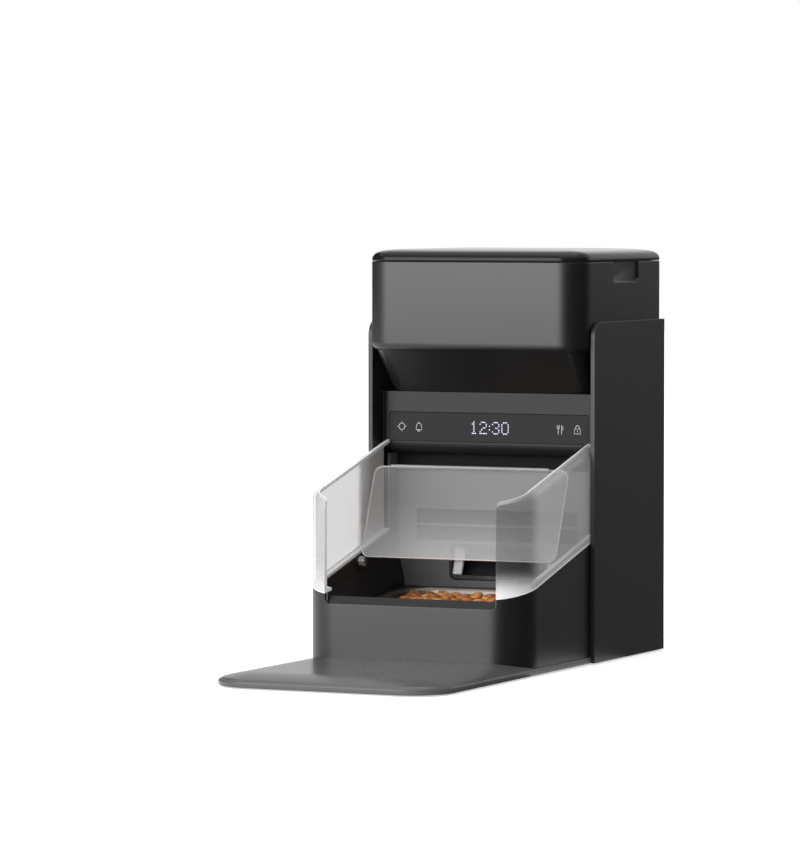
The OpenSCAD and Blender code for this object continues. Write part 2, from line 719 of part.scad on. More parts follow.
// Fascia with rolled lower edge and a sunk window seat
module fascia_panel() {
    r = fascia_roll;
    steps = 12;
    outer = [for (i = [0 : steps]) [y_fascia + r - r * cos(i * 90 / steps),
        fascia_z0 + r - r * sin(i * 90 / steps)]];
    ri = r - fascia_t;
    inner = [for (i = [0 : steps]) [y_fascia + r - ri * sin(i * 90 / steps),
        fascia_z0 + r - ri * cos(i * 90 / steps)]];
    color("#454545") difference() {
        intersection() {
            across(concat([[y_fascia, z_deck]], outer, [[y_fascia + r, fascia_z0 + fascia_t]], inner,
                [[y_fascia + fascia_t, z_deck]]), body_hw);
            translate([0, 0, fascia_z0 - cut]) linear_extrude(far)
                plan(body_hw - 0.2, y_fascia, y_bay - fit, fascia_r, 0.01);
        }
        translate([0, y_fascia + window_t, window_z0 + window_h / 2]) rotate([90, 0, 0])
            linear_extrude(window_t + cut) rounded(window_w + 2 * fit, window_h + 2 * fit, 1.5);
        for (s = [-1, 1]) block([s * body_hw - wall - fit, y_fascia + fascia_t, fascia_z0 - cut],
            [s * body_hw + wall + fit, y_fascia + r + cut, fascia_z0 + r + cut]);
    }
}

module display_window() {
    color("#3b3b3b") translate([0, y_fascia + window_t, window_z0 + window_h / 2]) rotate([90, 0, 0])
        linear_extrude(window_t - 0.15) rounded(window_w, window_h, 1.2);
}

module display_board() {
    y0 = y_fascia + fascia_t;
    hw = window_w / 2 - 12;
    lamp_hw = 26;
    color("#14532d") union() {
        block([-hw, y0 + 2, window_z0 + 1], [hw, y0 + 3.6, window_z0 + window_h - 1]);
        for (s = [-1, 1]) block([s * (hw - 6) - 3, y0, window_z0 + 3], [s * (hw - 6) + 3, y0 + 2,
            window_z0 + window_h - 3]);
        block([-lamp_hw, y0, window_z0 + 5], [lamp_hw, y0 + 2, window_z0 + window_h - 5]);
    }
}

// Control board on four posts at the back of the tower
module main_board() {
    color("#14532d") difference() {
        union() {
            block([-board_hw, board_y, post_zs[0] - 8], [board_hw, board_y + 1.6, post_zs[1] + 8]);
            block([-20, board_y - 3, post_zs[0] + 14], [8, board_y, post_zs[0] + 38]);
            block([20, board_y - 4, post_zs[0] + 4], [44, board_y, post_zs[0] + 20]);
            for (k = [0 : 2]) translate([-38 + 14 * k, board_y, post_zs[0] + 2]) rotate([90, 0, 0])
                cylinder(r = 4, h = 4);
        }
        for (s = [-1, 1], z = post_zs) rod_y(1.5, board_y - 6, board_y + 3, s * post_x, z);
    }
}

module board_screws() {
    color("#9a9a9a") for (s = [-1, 1], z = post_zs) translate([s * post_x, board_y - 1.5, z])
        rotate([-90, 0, 0])
        screw(2.6, 1.5, 1.1, 9);
}

// Tag reader's loop, on the back of the bay wall
coil_h = 36;
coil_band = 5;
coil_t = 1.8;

module antenna_coil() {
    w = 2 * bay_hw - 18;
    z = (channel_z + 2 * channel_h + fascia_z0) / 2 + 6;
    color("#b5712f") translate([0, y_bay + tray_t + coil_t, z]) rotate([90, 0, 0])
        linear_extrude(coil_t) difference() {
        rounded(w, coil_h, 8);
        rounded(w - 2 * coil_band, coil_h - 2 * coil_band, 4);
    }
}

// Feed works
chute_hw = outlet_w / 2 + 1.5;
chute_y0 = y_bay + tray_t + 1.6;
chute_y1 = y_rotor + 26;

module food_sensors() {
    color("#111111") for (s = [-1, 1]) block([min(s * (chute_hw + 2), s * (chute_hw + 7)), chute_y0 + 2,
        outlet_z + 10],
        [max(s * (chute_hw + 2), s * (chute_hw + 7)), chute_y0 + 10, outlet_z + 18]);
}

module feed_chute() {
    z_top = z_rotor - chamber_r - chamber_t + 8;
    t = 2;
    outer = [[chute_y0, outlet_z - 0.8], [chute_y0 + 16, outlet_z - 0.8], [chute_y1, z_top - 30],
        [chute_y1, z_top],
        [y_rotor - 26, z_top], [y_channel + fit, outlet_z + outlet_h + 0.3], [chute_y0,
            outlet_z + outlet_h + 0.3]];
    inner = [[chute_y0 - cut, outlet_z + 2], [chute_y0 + 16, outlet_z + 2], [chute_y1 - t, z_top - 28],
        [chute_y1 - t, z_top + cut], [y_rotor - 26 + t, z_top + cut], [y_rotor - 26 + t, z_top - 2],
        [y_channel + 1.4, outlet_z + outlet_h - 3], [chute_y0 - cut, outlet_z + outlet_h - 3]];
    color("#232323") difference() {
        across(outer, chute_hw + t);
        across(inner, chute_hw - 2);
        rod_x(chamber_r + chamber_t + fit, -chute_hw - 5, chute_hw + 5, y_rotor, z_rotor);
    }
}

module rotor_housing() {
    hw = chamber_w / 2;
    color("#3a3a3a") difference() {
        union() {
            rod_x(chamber_r + chamber_t, -hw, hw, y_rotor, z_rotor);
            block([-hw, y_rotor - throat_l / 2 - 2, z_rotor], [hw, y_rotor + throat_l / 2 + 2,
                z_deck - wall - fit]);
            for (s = [-1, 1]) rod_x(8, min(s * hw, s * (hw + 5)), max(s * hw, s * (hw + 5)), y_rotor,
                z_rotor);
        }
        rod_x(chamber_r, -hw + chamber_t, hw - chamber_t, y_rotor, z_rotor);
        block([-throat_w / 2, y_rotor - throat_l / 2, z_rotor + 10], [throat_w / 2,
            y_rotor + throat_l / 2, z_deck]);
        block([-chute_hw + 3, y_rotor - 22, z_rotor - 60], [chute_hw - 3, y_rotor + 22, z_rotor - 10]);
        rod_x(shaft_r + 1.6 + fit / 3, -hw - 6, hw + 6, y_rotor, z_rotor);
    }
}

module rotor_bushes() {
    hw = chamber_w / 2;
    color("#c9a227") for (s = [-1, 1]) difference() {
        rod_x(shaft_r + 1.6, s * (hw + 1.2) - 3.6, s * (hw + 1.2) + 3.6, y_rotor, z_rotor);
        rod_x(shaft_r + run_gap, s * (hw + 1.2) - 5, s * (hw + 1.2) + 5, y_rotor, z_rotor);
    }
}

module rotor_shaft() {
    hw = chamber_w / 2;
    color("#a8a8a8") rod_x(shaft_r, -hw - 6, hw + 14, y_rotor, z_rotor);
}

module rotor_wheel() {
    hw = chamber_w / 2 - chamber_t - 3.6;
    hub_r = 9;
    color("#8f8f86") translate([-hw, y_rotor, z_rotor]) rotate([90, 0, 90]) linear_extrude(2 * hw)
        difference() {
        union() {
            circle(hub_r);
            for (i = [0 : vanes - 1]) rotate(i * 360 / vanes + 15) translate([0, -1])
                square([chamber_r - 1, 2]);
        }
        circle(shaft_r);
    }
}

module feed_gearmotor() {
    x0 = chamber_w / 2 + 5.2;
    color("#c8c8c8") difference() {
        union() {
            block([x0, y_rotor - 15, z_rotor - 24], [x0 + 18, y_rotor + 15, z_rotor + 14]);
            rod_x(12, x0 + 18, x0 + 40, y_rotor, z_rotor - 8);
            rod_x(5, x0 + 40, x0 + 41.5, y_rotor, z_rotor - 8);
        }
        rod_x(shaft_r + run_gap, x0 - cut, x0 + 12, y_rotor, z_rotor);
    }
}

// Flap drive: a crank on the hinge, a push rod in the side wall and a geared motor in the tower
crank_x0 = tray_hw + 0.3;
crank_t = 1.1;
rod_x0 = crank_x0 + crank_t + 0.15;
rod_t = 1.1;
crank_pin_r = 1.1;
crank_end_r = 2.1;
crank_rest = 270 + rim_tilt - flap_swing / 2;
pin_dy = crank_throw * cos(crank_rest);
pin_dz = crank_throw * sin(crank_rest);
y_motor = y_hinge + rod_l * cos(rim_tilt);
z_motor = z_hinge + rod_l * sin(rim_tilt);

// A straight link of thickness t between two pin centres
module link(x0, t, ya, za, l, angle, r) {
    translate([x0, ya, za]) rotate([angle, 0, 0]) {
        rotate([0, 90, 0]) cylinder(r = r, h = t);
        translate([0, l, 0]) rotate([0, 90, 0]) cylinder(r = r, h = t);
        translate([0, 0, -r]) cube([t, l, 2 * r]);
    }
}

module crank_arm(y, z) {
    link(crank_x0, crank_t, y, z, crank_throw, crank_rest, crank_end_r);
    rod_x(crank_pin_r, crank_x0 + 0.2, rod_x0 + rod_t, y + pin_dy, z + pin_dz);
}

module flap_drive_crank() {
    color("#b0b0b0") union() {
        crank_arm(y_hinge, z_hinge);
        rod_x(pin_r, flap_w / 2 - 5, crank_x0 + 0.2, y_hinge, z_hinge);
    }
}

module flap_motor_crank() {
    color("#b0b0b0") union() {
        crank_arm(y_motor, z_motor);
        rod_x(2, crank_x0 - 6, crank_x0 + 0.2, y_motor, z_motor);
    }
}

module flap_push_rod() {
    color("#8a8a8a") difference() {
        link(rod_x0, rod_t, y_hinge + pin_dy, z_hinge + pin_dz, rod_l, rim_tilt, crank_end_r);
        rod_x(crank_pin_r + run_gap, rod_x0 - cut, rod_x0 + rod_t + cut, y_hinge + pin_dy,
            z_hinge + pin_dz);
        rod_x(crank_pin_r + run_gap, rod_x0 - cut, rod_x0 + rod_t + cut, y_motor + pin_dy,
            z_motor + pin_dz);
    }
}

module flap_gearmotor() {
    y0 = y_bay + tray_t;
    x1 = tray_hw - 0.4;
    color("#c8c8c8") difference() {
        union() {
            block([x1 - 14, y0, z_motor - 24], [x1, y_motor + 8, z_motor + 8]);
            rod_x(6, x1 - 32, x1 - 14, y_motor, z_motor - 16);
        }
        rod_x(2 + run_gap, x1 - 6, x1 + cut, y_motor, z_motor);
    }
}

module flap_hinge_pin() {
    color("#a8a8a8") rod_x(pin_r, -tray_hw, -flap_w / 2 + 5, y_hinge, z_hinge);
}

// Flap, drawn upright on its hinge axis and then leaned back
module at_flap() {
    translate([0, y_hinge, z_hinge]) rotate([-flap_lean, 0, 0]) children();
}

clip_w = 4;
clip_r = pin_r + 1.6;

module flap_clip(x0) {
    difference() {
        union() {
            rod_x(clip_r, x0, x0 + clip_w, 0, 0);
            block([x0, -flap_t / 2, 0], [x0 + clip_w, flap_t / 2, clip_r + 1]);
        }
        rod_x(pin_r + run_gap, x0 - cut, x0 + clip_w + cut, 0, 0);
        block([x0 - cut, 0, -clip_r * 0.62], [x0 + clip_w + cut, clip_r + cut, clip_r * 0.1]);
    }
}

module flap() {
    hw = flap_w / 2;
    z0 = clip_r - 0.4;
    color("#e8e8e8", 0.35) at_flap() union() {
        translate([0, flap_t / 2, (z0 + flap_l) / 2]) rotate([90, 0, 0]) linear_extrude(flap_t)
            union() {
                rounded(flap_w, flap_l - z0, flap_r);
                translate([0, -flap_r]) rounded(flap_w, flap_l - z0 - 2 * flap_r, 1);
            }
        block([-notch_hw + 4, -flap_t / 2 - flap_border, flap_l - 2], [notch_hw - 4, 0, flap_l]);
        for (x0 = [-hw + 0.4, hw - 0.4 - clip_w]) flap_clip(x0);
    }
}

module flap_catch() {
    w = 7;
    color("#e8e8e8", 0.5) at_flap() union() {
        block([-w / 2, flap_t / 2 + 2.2, -6.5], [w / 2, flap_t / 2 + 4.6, 11]);
        rod_x(2.6, -w / 2, w / 2, flap_t / 2 + 2.6, 10.5);
        block([-w / 2, flap_t / 2, 7.9], [w / 2, flap_t / 2 + 2.6, 13.1]);
    }
}

// Battery bay for three large round cells, opening at the back
module battery_box() {
    y1 = y_in - wall - fit;
    y0 = y1 - cell_l - 8;
    color("#303030") difference() {
        block([-box_hw, y0, box_z0], [box_hw, y1, box_z1]);
        block([-box_hw + 1.6, y0 + 2, box_z0 + 2], [box_hw - 1.6, y1 + cut, box_z1 - 2]);
    }
}

contact_r = 10;
contact_t = 0.6;

module battery_contacts() {
    y0 = y_in - wall - fit - cell_l - 6;
    color("#d0c890") for (k = [-1 : 1]) translate([k * cell_d, y0, (box_z0 + box_z1) / 2])
        rotate([-90, 0, 0]) {
        cylinder(r = contact_r, h = contact_t);
        translate([0, 0, contact_t]) cylinder(r1 = 0.7 * contact_r, r2 = 0.4 * contact_r, h = 5);
    }
}

module battery_cover() {
    color("#333333") union() {
        door_hole(0, y_in - wall, y_back - 0.2);
        translate([0, 0, (door_z0 + door_z1) / 2]) for (s = [-1, 1])
            block([s * (door_hw - 6) - 4, y_in - wall - 4, -1], [s * (door_hw - 6) + 4, y_in - wall + 1,
                1]);
    }
}

module power_inlet() {
    color("#151515") difference() {
        union() {
            rod_y(5.2, y_in - wall - 9, y_in + shell_t, inlet_x, inlet_z);
            rod_y(7, y_in - wall - 4, y_in - wall, inlet_x, inlet_z);
        }
        rod_y(inlet_r, y_in - wall - 6, y_back + cut, inlet_x, inlet_z);
    }
}

// Bowl: a pressed steel pan with a flat rim, lying on the tray's sloping seat
function bowl_ring(inset, z) = let (d = bowl_rim + inset, r = max(bowl_r - d, 5))
    ring(bowl_w / 2 - d, d - bowl_l, -d, r, r, z);

// Upright, flared and rounded stages of the pan, [drawn in by, height]
bowl_stages = [[11, -bowl_d + 0.4], [6.5, -bowl_d + 1.6], [4.5, -bowl_d + 4.5], [3.2, -bowl_d + 9],
    [0.4, 0]];

module bowl() {
    lift = 0.2;
    color("#b9b4ac") translate([0, y_seat, bowl_z(y_seat) + lift]) rotate([seat_tilt, 0, 0]) difference() {
        union() {
            loft(concat([for (p = bowl_stages) bowl_ring(p[0], p[1])], [bowl_ring(0.4, bowl_t)]));
            linear_extrude(1.4) plan(bowl_w / 2, -bowl_l, 0, bowl_r, bowl_r);
        }
        loft(concat([for (p = bowl_stages) bowl_ring(p[0] + bowl_t, p[1] + bowl_t)],
            [bowl_ring(bowl_t + 0.2, 3)]));
    }
}

// Tank with its funnel and throat
tank_rb = 2.4;
tank_y1 = y_back;
foot_hw = body_hw - 8;
rim_t = 2 * tank_t;

function tank_ring(d, z) = ring(tank_hw - d, y_tank + d, tank_y1 - max(d - 5, 0), max(tank_r - d, 2),
    tank_rb, z);
function tank_hollow(d, db, z) = ring(tank_hw - d, y_tank + d, tank_y1 - db, tank_r - d, 1, z);
function throat_ring(z) = ring(throat_w / 2, y_rotor - throat_l / 2, y_rotor + throat_l / 2, 5, 5, z);
grip_y = (y_tank + tank_y1) / 2 + 9.6;

// One finger recess: a shallow pocket that opens under the lid's edge
module grip(depth) {
    translate([tank_hw - depth, grip_y, seam_z - grip_h / 2 + 2]) rotate([0, 90, 0])
        linear_extrude(depth + cut)
        rounded(grip_h + 4, grip_l, 4);
}

module tank_shape() {
    t = tank_t;
    difference() {
        loft([ring(foot_hw, y_fascia, tank_y1, 14, tank_rb, z_tank), tank_ring(4.2, funnel_z - 2),
            tank_ring(2, funnel_z), tank_ring(0.5, funnel_z + 2.5), tank_ring(0, funnel_z + 6),
                tank_ring(0, seam_z)]);
        loft([throat_ring(z_tank - cut), throat_ring(z_tank + 4), tank_hollow(t + 4, t, funnel_z),
            tank_hollow(t, t, funnel_z + 7), tank_hollow(t, t, seam_z - grip_h - rim_t - 3),
            tank_hollow(rim_t, rim_t, seam_z - grip_h - rim_t), tank_hollow(rim_t, rim_t, seam_z + cut)]);
        for (s = [0, 1]) mirror([s, 0, 0]) grip(2);
    }
}

// The funnel is a moulding of its own, welded to the upright walls in the roll at their foot
z_weld = funnel_z + 1;

module tank() {
    color("#4a4a4a") intersection() {
        tank_shape();
        block([-shell_hw, y_tank - cut, z_weld], [shell_hw, y_back + cut, seam_z + cut]);
    }
}

module tank_funnel() {
    color("#4a4a4a") intersection() {
        tank_shape();
        block([-shell_hw, y_tank - cut, z_tank - cut], [shell_hw, y_back + cut, z_weld]);
    }
}

module tank_seal() {
    color("#5c5c5c") translate([0, y_rotor, z_deck - wall]) linear_extrude(wall) difference() {
        rounded(throat_w + 3.4, throat_l + 3.4, 4.7);
        rounded(throat_w, throat_l, 4);
    }
}

// Lid with its plug, seal and drying-agent box
plug_d = rim_t + 0.6;
plug_h = 9;

function lid_ring(d, z) = ring(tank_hw - d, y_tank + d, tank_y1 - d, max(tank_r - d, 4),
    max(tank_rb - d, 1.6), z);

// The lid's edge and crown, [drawn in by, share of the crown's height]
crown_stages = [[0, 0], [0.9, 0.2], [2.6, 0.42], [6, 0.62], [14, 0.82], [36, 1]];

module lid() {
    z1 = seam_z + lid_edge;
    color("#383838") difference() {
        union() {
            loft(concat([lid_ring(0.4, seam_z + fit), lid_ring(0, seam_z + fit + 0.7)],
                [for (p = crown_stages) lid_ring(p[0], z1 + lid_crown * p[1])]));
            translate([0, 0, seam_z - plug_h]) linear_extrude(plug_h + 1)
                plan(tank_hw - plug_d, y_tank + plug_d, tank_y1 - plug_d, tank_r - plug_d, 2.6);
        }
        translate([0, 0, seam_z - plug_h - cut]) linear_extrude(plug_h + 1 + lid_edge - 0.5)
            plan(tank_hw - plug_d - 1.8, y_tank + plug_d + 1.8, tank_y1 - plug_d - 1.8,
                tank_r - plug_d - 1.8, 1.2);
        translate([0, 0, seam_z - plug_h + 3]) linear_extrude(3) difference() {
            plan(tank_hw - 1, y_tank + 1, tank_y1 - 1, tank_r - 1, 2);
            plan(tank_hw - plug_d - 0.9, y_tank + plug_d + 0.9, tank_y1 - plug_d - 0.9,
                tank_r - plug_d - 0.9, 1.8);
        }
    }
}

module lid_seal() {
    color("#777777") translate([0, 0, seam_z - plug_h + 3.1]) linear_extrude(2.8) difference() {
        plan(tank_hw - rim_t - 0.2, y_tank + rim_t + 0.2, tank_y1 - rim_t - 0.2, tank_r - rim_t - 0.2, 1.6);
        plan(tank_hw - plug_d - 0.8, y_tank + plug_d + 0.8, tank_y1 - plug_d - 0.8,
            tank_r - plug_d - 0.8, 1.9);
    }
}

dry_w = 78;
dry_l = 56;
dry_h = 16;
dry_t = 1.6;
slot_pitch = 7.6;

module desiccant_box() {
    z1 = seam_z + lid_edge - 0.5;
    yc = (y_tank + tank_y1) / 2;
    color("#4f4f4f") translate([0, yc, z1 - dry_h]) difference() {
        linear_extrude(dry_h) rounded(dry_w, dry_l, 8);
        translate([0, 0, dry_t]) linear_extrude(dry_h)
            rounded(dry_w - 2 * dry_t, dry_l - 2 * dry_t, 8 - dry_t);
        for (k = [-4 : 4]) translate([k * slot_pitch, 0, -cut]) linear_extrude(dry_t + 2 * cut)
            rounded(3.4, dry_l - 16, 1.6);
    }
}

base_plate();
rubber_feet();
body_housing();
rear_housing();
housing_screws();
bowl_tray();
bay_back_panel();
outlet_bezel();
left_shield();
right_shield();
rear_shell();
shell_screws();
tower_housing();
fascia_panel();
display_window();
display_board();
main_board();
board_screws();
antenna_coil();
food_sensors();
feed_chute();
rotor_housing();
rotor_bushes();
rotor_shaft();
rotor_wheel();
feed_gearmotor();
flap_gearmotor();
flap_motor_crank();
flap_push_rod();
flap_drive_crank();
flap_hinge_pin();
flap();
flap_catch();
battery_box();
battery_contacts();
battery_cover();
power_inlet();
bowl();
tank();
tank_funnel();
tank_seal();
lid();
lid_seal();
desiccant_box();
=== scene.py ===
import bmesh
import bpy
import math
import random
from mathutils import Matrix, Vector


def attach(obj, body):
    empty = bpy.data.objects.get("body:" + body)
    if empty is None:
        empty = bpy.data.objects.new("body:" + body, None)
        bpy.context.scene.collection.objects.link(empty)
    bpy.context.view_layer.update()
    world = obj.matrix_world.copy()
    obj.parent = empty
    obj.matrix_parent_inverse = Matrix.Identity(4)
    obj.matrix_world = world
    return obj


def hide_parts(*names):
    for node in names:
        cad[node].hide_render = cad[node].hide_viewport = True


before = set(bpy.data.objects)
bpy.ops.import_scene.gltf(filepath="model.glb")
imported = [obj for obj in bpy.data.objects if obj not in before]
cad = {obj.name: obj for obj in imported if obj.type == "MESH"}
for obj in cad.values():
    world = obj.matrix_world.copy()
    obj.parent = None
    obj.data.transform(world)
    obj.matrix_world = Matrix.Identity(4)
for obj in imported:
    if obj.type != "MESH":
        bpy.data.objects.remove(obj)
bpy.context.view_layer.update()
mm = 0.001


# colour and node helpers: an sRGB hex code as linear light
def linear(hexCode):
    parts = [int(hexCode[i:i + 2], 16) / 255 for i in (1, 3, 5)]
    return [p / 12.92 if p <= 0.04045 else ((p + 0.055) / 1.055) ** 2.4 for p in parts] + [1]


# each input is a plain value or the output of another node
def addNode(tree, kind, inputs=None, **settings):
    node = tree.nodes.new(kind)
    for key, value in settings.items():
        setattr(node, key, value)
    for key, value in (inputs or {}).items():
        if isinstance(value, bpy.types.NodeSocket):
            tree.links.new(value, node.inputs[key])
        else:
            node.inputs[key].default_value = value
    return node


def newMaterial(name):
    material = bpy.data.materials.new(name)
    material.use_nodes = True
    tree = material.node_tree
    tree.nodes.clear()
    place = addNode(tree, "ShaderNodeTexCoord").outputs["Object"]
    return material, tree, place


def finishMaterial(tree, shader):
    addNode(tree, "ShaderNodeOutputMaterial", {"Surface": shader.outputs[0]})


def compute(tree, operation, first, second, clamp=False):
    node = addNode(tree, "ShaderNodeMath", {0: first, 1: second}, operation=operation, use_clamp=clamp)
    return node.outputs[0]


# what runs from start to end in the source runs from low to high in the result
def span(tree, source, low=0, high=1, start=0, end=1, kind="LINEAR"):
    inputs = {"Value": source, "From Min": start, "From Max": end, "To Min": low, "To Max": high}
    return addNode(tree, "ShaderNodeMapRange", inputs, interpolation_type=kind).outputs["Result"]


def mixValues(tree, factor, first, second):
    return addNode(tree, "ShaderNodeMix", {0: factor, 2: first, 3: second}).outputs[0]


def mixTones(tree, factor, first, second):
    first, second = (linear(tone) if isinstance(tone, str) else tone for tone in (first, second))
    return addNode(tree, "ShaderNodeMix", {0: factor, 6: first, 7: second}, data_type="RGBA").outputs[2]


def noise(tree, place, sizeMm, detail):
    inputs = {"Vector": place, "Scale": 1000 / sizeMm, "Detail": detail}
    return addNode(tree, "ShaderNodeTexNoise", inputs).outputs["Fac"]


# a bump from a height pattern, on top of the normal where one is given
def bumpNormal(tree, height, strength, deepMm, normal=None):
    inputs = {"Height": height, "Strength": strength, "Distance": deepMm * mm}
    if normal:
        inputs["Normal"] = normal
    return addNode(tree, "ShaderNodeBump", inputs).outputs["Normal"]


# a tone that drifts between a look's dark and light in soft patches, and those patches themselves
def patchyTone(tree, place, look):
    patches = noise(tree, place, look["patchMm"], 3)
    return mixTones(tree, patches, look["dark"], look["light"]), patches


def principled(tree, tone, rough, inputs):
    return addNode(tree, "ShaderNodeBsdfPrincipled", {"Base Color": tone, "Roughness": rough, **inputs})


# plastic or rubber from a spark-eroded mould: a fine matt grain and softly rounded edges
# where a look has a shade, the tone darkens to it from the wall's face to the floor of its channels: painted
# shade in those recesses
def mouldedPlastic(name, look):
    material, tree, place = newMaterial(name)
    tone, patches = patchyTone(tree, place, look)
    if "shade" in look:
        depth = addNode(tree, "ShaderNodeSeparateXYZ", {"Vector": place}).outputs["Y"]
        paintedRecessShade = span(tree, depth, start=look["face"] * mm, end=look["floor"] * mm)
        tone = mixTones(tree, paintedRecessShade, tone, look["shade"])
    normal = addNode(tree, "ShaderNodeBevel", {"Radius": look["edgeMm"] * mm}, samples=6).outputs["Normal"]
    if look["grainBump"]:
        grain = noise(tree, place, look["grainMm"], 2)
        normal = bumpNormal(tree, grain, look["grainBump"], look["grainDeepMm"], normal)
    rough = span(tree, patches, look["rough"] - look["roughSpread"], look["rough"] + look["roughSpread"])
    shader = principled(tree, tone, rough, {"Specular IOR Level": look["gloss"], "Normal": normal})
    finishMaterial(tree, shader)
    return material


# moulded polycarbonate: polished and smoky at the front, frosted at the sides, and whiter and hazier low at
# the front, a painted reflection tones are for front, side and the painted reflection low down; haze is for
# front, side, rear and that reflection, and rises at grazing angles
def frostedPolycarbonate(name, look):
    material, tree, place = newMaterial(name)
    spot = addNode(tree, "ShaderNodeSeparateXYZ", {"Vector": place}).outputs
    fades = (("Y", look["fadeBack"]), ("Z", look["fadeUp"]), ("Y", look["fadeRear"]))
    back, up, rear = [span(tree, spot[axis], start=low * mm, end=high * mm, kind="SMOOTHSTEP")
                      for axis, (low, high) in fades]
    # painted reflection: whiter and hazier where the front zone runs below the height zone
    paintedLowLight = compute(tree, "MULTIPLY", compute(tree, "SUBTRACT", 1, back), compute(tree, "SUBTRACT", 1, up))
    frontTone, sideTone, paintedLowTone = look["tones"]
    tone = mixTones(tree, paintedLowLight, mixTones(tree, back, frontTone, sideTone), paintedLowTone)
    frontHaze, sideHaze, rearHaze, paintedLowHaze = look["haze"]
    haze = mixValues(tree, rear, mixValues(tree, back, frontHaze, sideHaze), rearHaze)
    haze = mixValues(tree, paintedLowLight, haze, paintedLowHaze)
    facing = addNode(tree, "ShaderNodeLayerWeight", {"Blend": 0.5}).outputs["Facing"]
    rim = span(tree, facing, 0, look["rim"], start=look["rimStart"])
    patches = noise(tree, place, look["patchMm"], 2)
    rough = span(tree, patches, look["rough"], look["rough"] + look["roughSpread"])
    alpha = compute(tree, "ADD", haze, rim, clamp=True)
    shader = principled(tree, tone, rough, {"Specular IOR Level": look["gloss"], "Alpha": alpha})
    finishMaterial(tree, shader)
    return material


# drawn or turned metal, satin polished: long faint brush lines
def brushedMetal(name, look):
    material, tree, place = newMaterial(name)
    stretch = addNode(tree, "ShaderNodeMapping", {"Scale": look["brush"], "Vector": place}).outputs["Vector"]
    lines = noise(tree, stretch, look["lineMm"], 4)
    tone = patchyTone(tree, place, look)[0]
    rough = span(tree, lines, look["rough"] - look["smoother"], look["rough"] + look["rougher"])
    normal = bumpNormal(tree, lines, look["lineBump"], look["lineDeepMm"])
    finishMaterial(tree, principled(tree, tone, rough, {"Metallic": 1, "Normal": normal}))
    return material


# dry food: baked, porous, oily here and there
def bakedFood(name, look):
    material, tree, place = newMaterial(name)
    tone, patches = patchyTone(tree, place, look)
    pores = addNode(tree, "ShaderNodeTexVoronoi", {"Vector": place, "Scale": 1000 / look["poreMm"]})
    normal = bumpNormal(tree, pores.outputs["Distance"], look["poreBump"], look["poreDeepMm"])
    finishMaterial(tree, principled(tree, tone, span(tree, patches, *look["rough"]), {"Normal": normal}))
    return material


# light from a diode through the printed window
def litMark(name, look):
    material, tree, place = newMaterial(name)
    tone = patchyTone(tree, place, look)[0]
    glow = {"Emission Color": tone, "Emission Strength": look["strength"]}
    finishMaterial(tree, principled(tree, tone, look["rough"], glow))
    return material


# black and grey ABS, then rubber, a black sheet of painted shadow, circuit board laminate and the tinted
# acrylic of the display's window
mouldedCommon = {"patchMm": 70, "grainMm": 0.7, "grainDeepMm": 0.05, "grainBump": 0.12, "edgeMm": 0.8,
                 "roughSpread": 0.03}
mouldedLooks = {
    "tankAbs": {"dark": "#151515", "light": "#181818", "rough": 0.36, "gloss": 0.5},
    "lidAbs": {"dark": "#171717", "light": "#1b1b1b", "rough": 0.13, "gloss": 0.16},
    "bodyAbs": {"dark": "#171717", "light": "#1b1b1b", "rough": 0.34, "gloss": 0.5},
    "shellAbs": {"dark": "#1b1b1b", "light": "#1f1f1f", "rough": 0.4, "gloss": 0.4},
    "fasciaAbs": {"dark": "#181818", "light": "#1c1c1c", "rough": 0.45, "gloss": 0.25},
    "trayAbs": {"dark": "#2c2c2c", "light": "#323232", "rough": 0.6, "gloss": 0.08},
    # the channels of the bay's back wall get painted shade
    "bayAbs": {"dark": "#585858", "light": "#606060", "rough": 0.5, "gloss": 0.35, "grainBump": 0,
               "shade": "#1a1a1a", "face": 101.3, "floor": 103.5},
    "innerAbs": {"dark": "#2c2c2c", "light": "#343434", "rough": 0.5, "gloss": 0.35},
    "outletAbs": {"dark": "#050505", "light": "#080808", "rough": 0.3, "gloss": 0.5},
    "matAbs": {"dark": "#525252", "light": "#5a5a5a", "rough": 0.27, "gloss": 0.22},
    "feetRubber": {"dark": "#121212", "light": "#181818", "rough": 0.8, "gloss": 0.3},
    "sealRubber": {"dark": "#3c3c3c", "light": "#444444", "rough": 0.75, "gloss": 0.3},
    # painted shadow: a matt black sheet that stands in for the shade in the slot over the flap
    "paintedShadowBlack": {"dark": "#181818", "light": "#202020", "rough": 0.9, "gloss": 0.1},
    "boardLaminate": {"dark": "#0f3d22", "light": "#14502c", "rough": 0.45, "gloss": 0.5},
    "windowAcrylic": {"dark": "#1a1a1a", "light": "#1c1c1c", "rough": 0.4, "gloss": 0.12,
                      "grainMm": 2, "grainBump": 0.01, "edgeMm": 0.2},
}
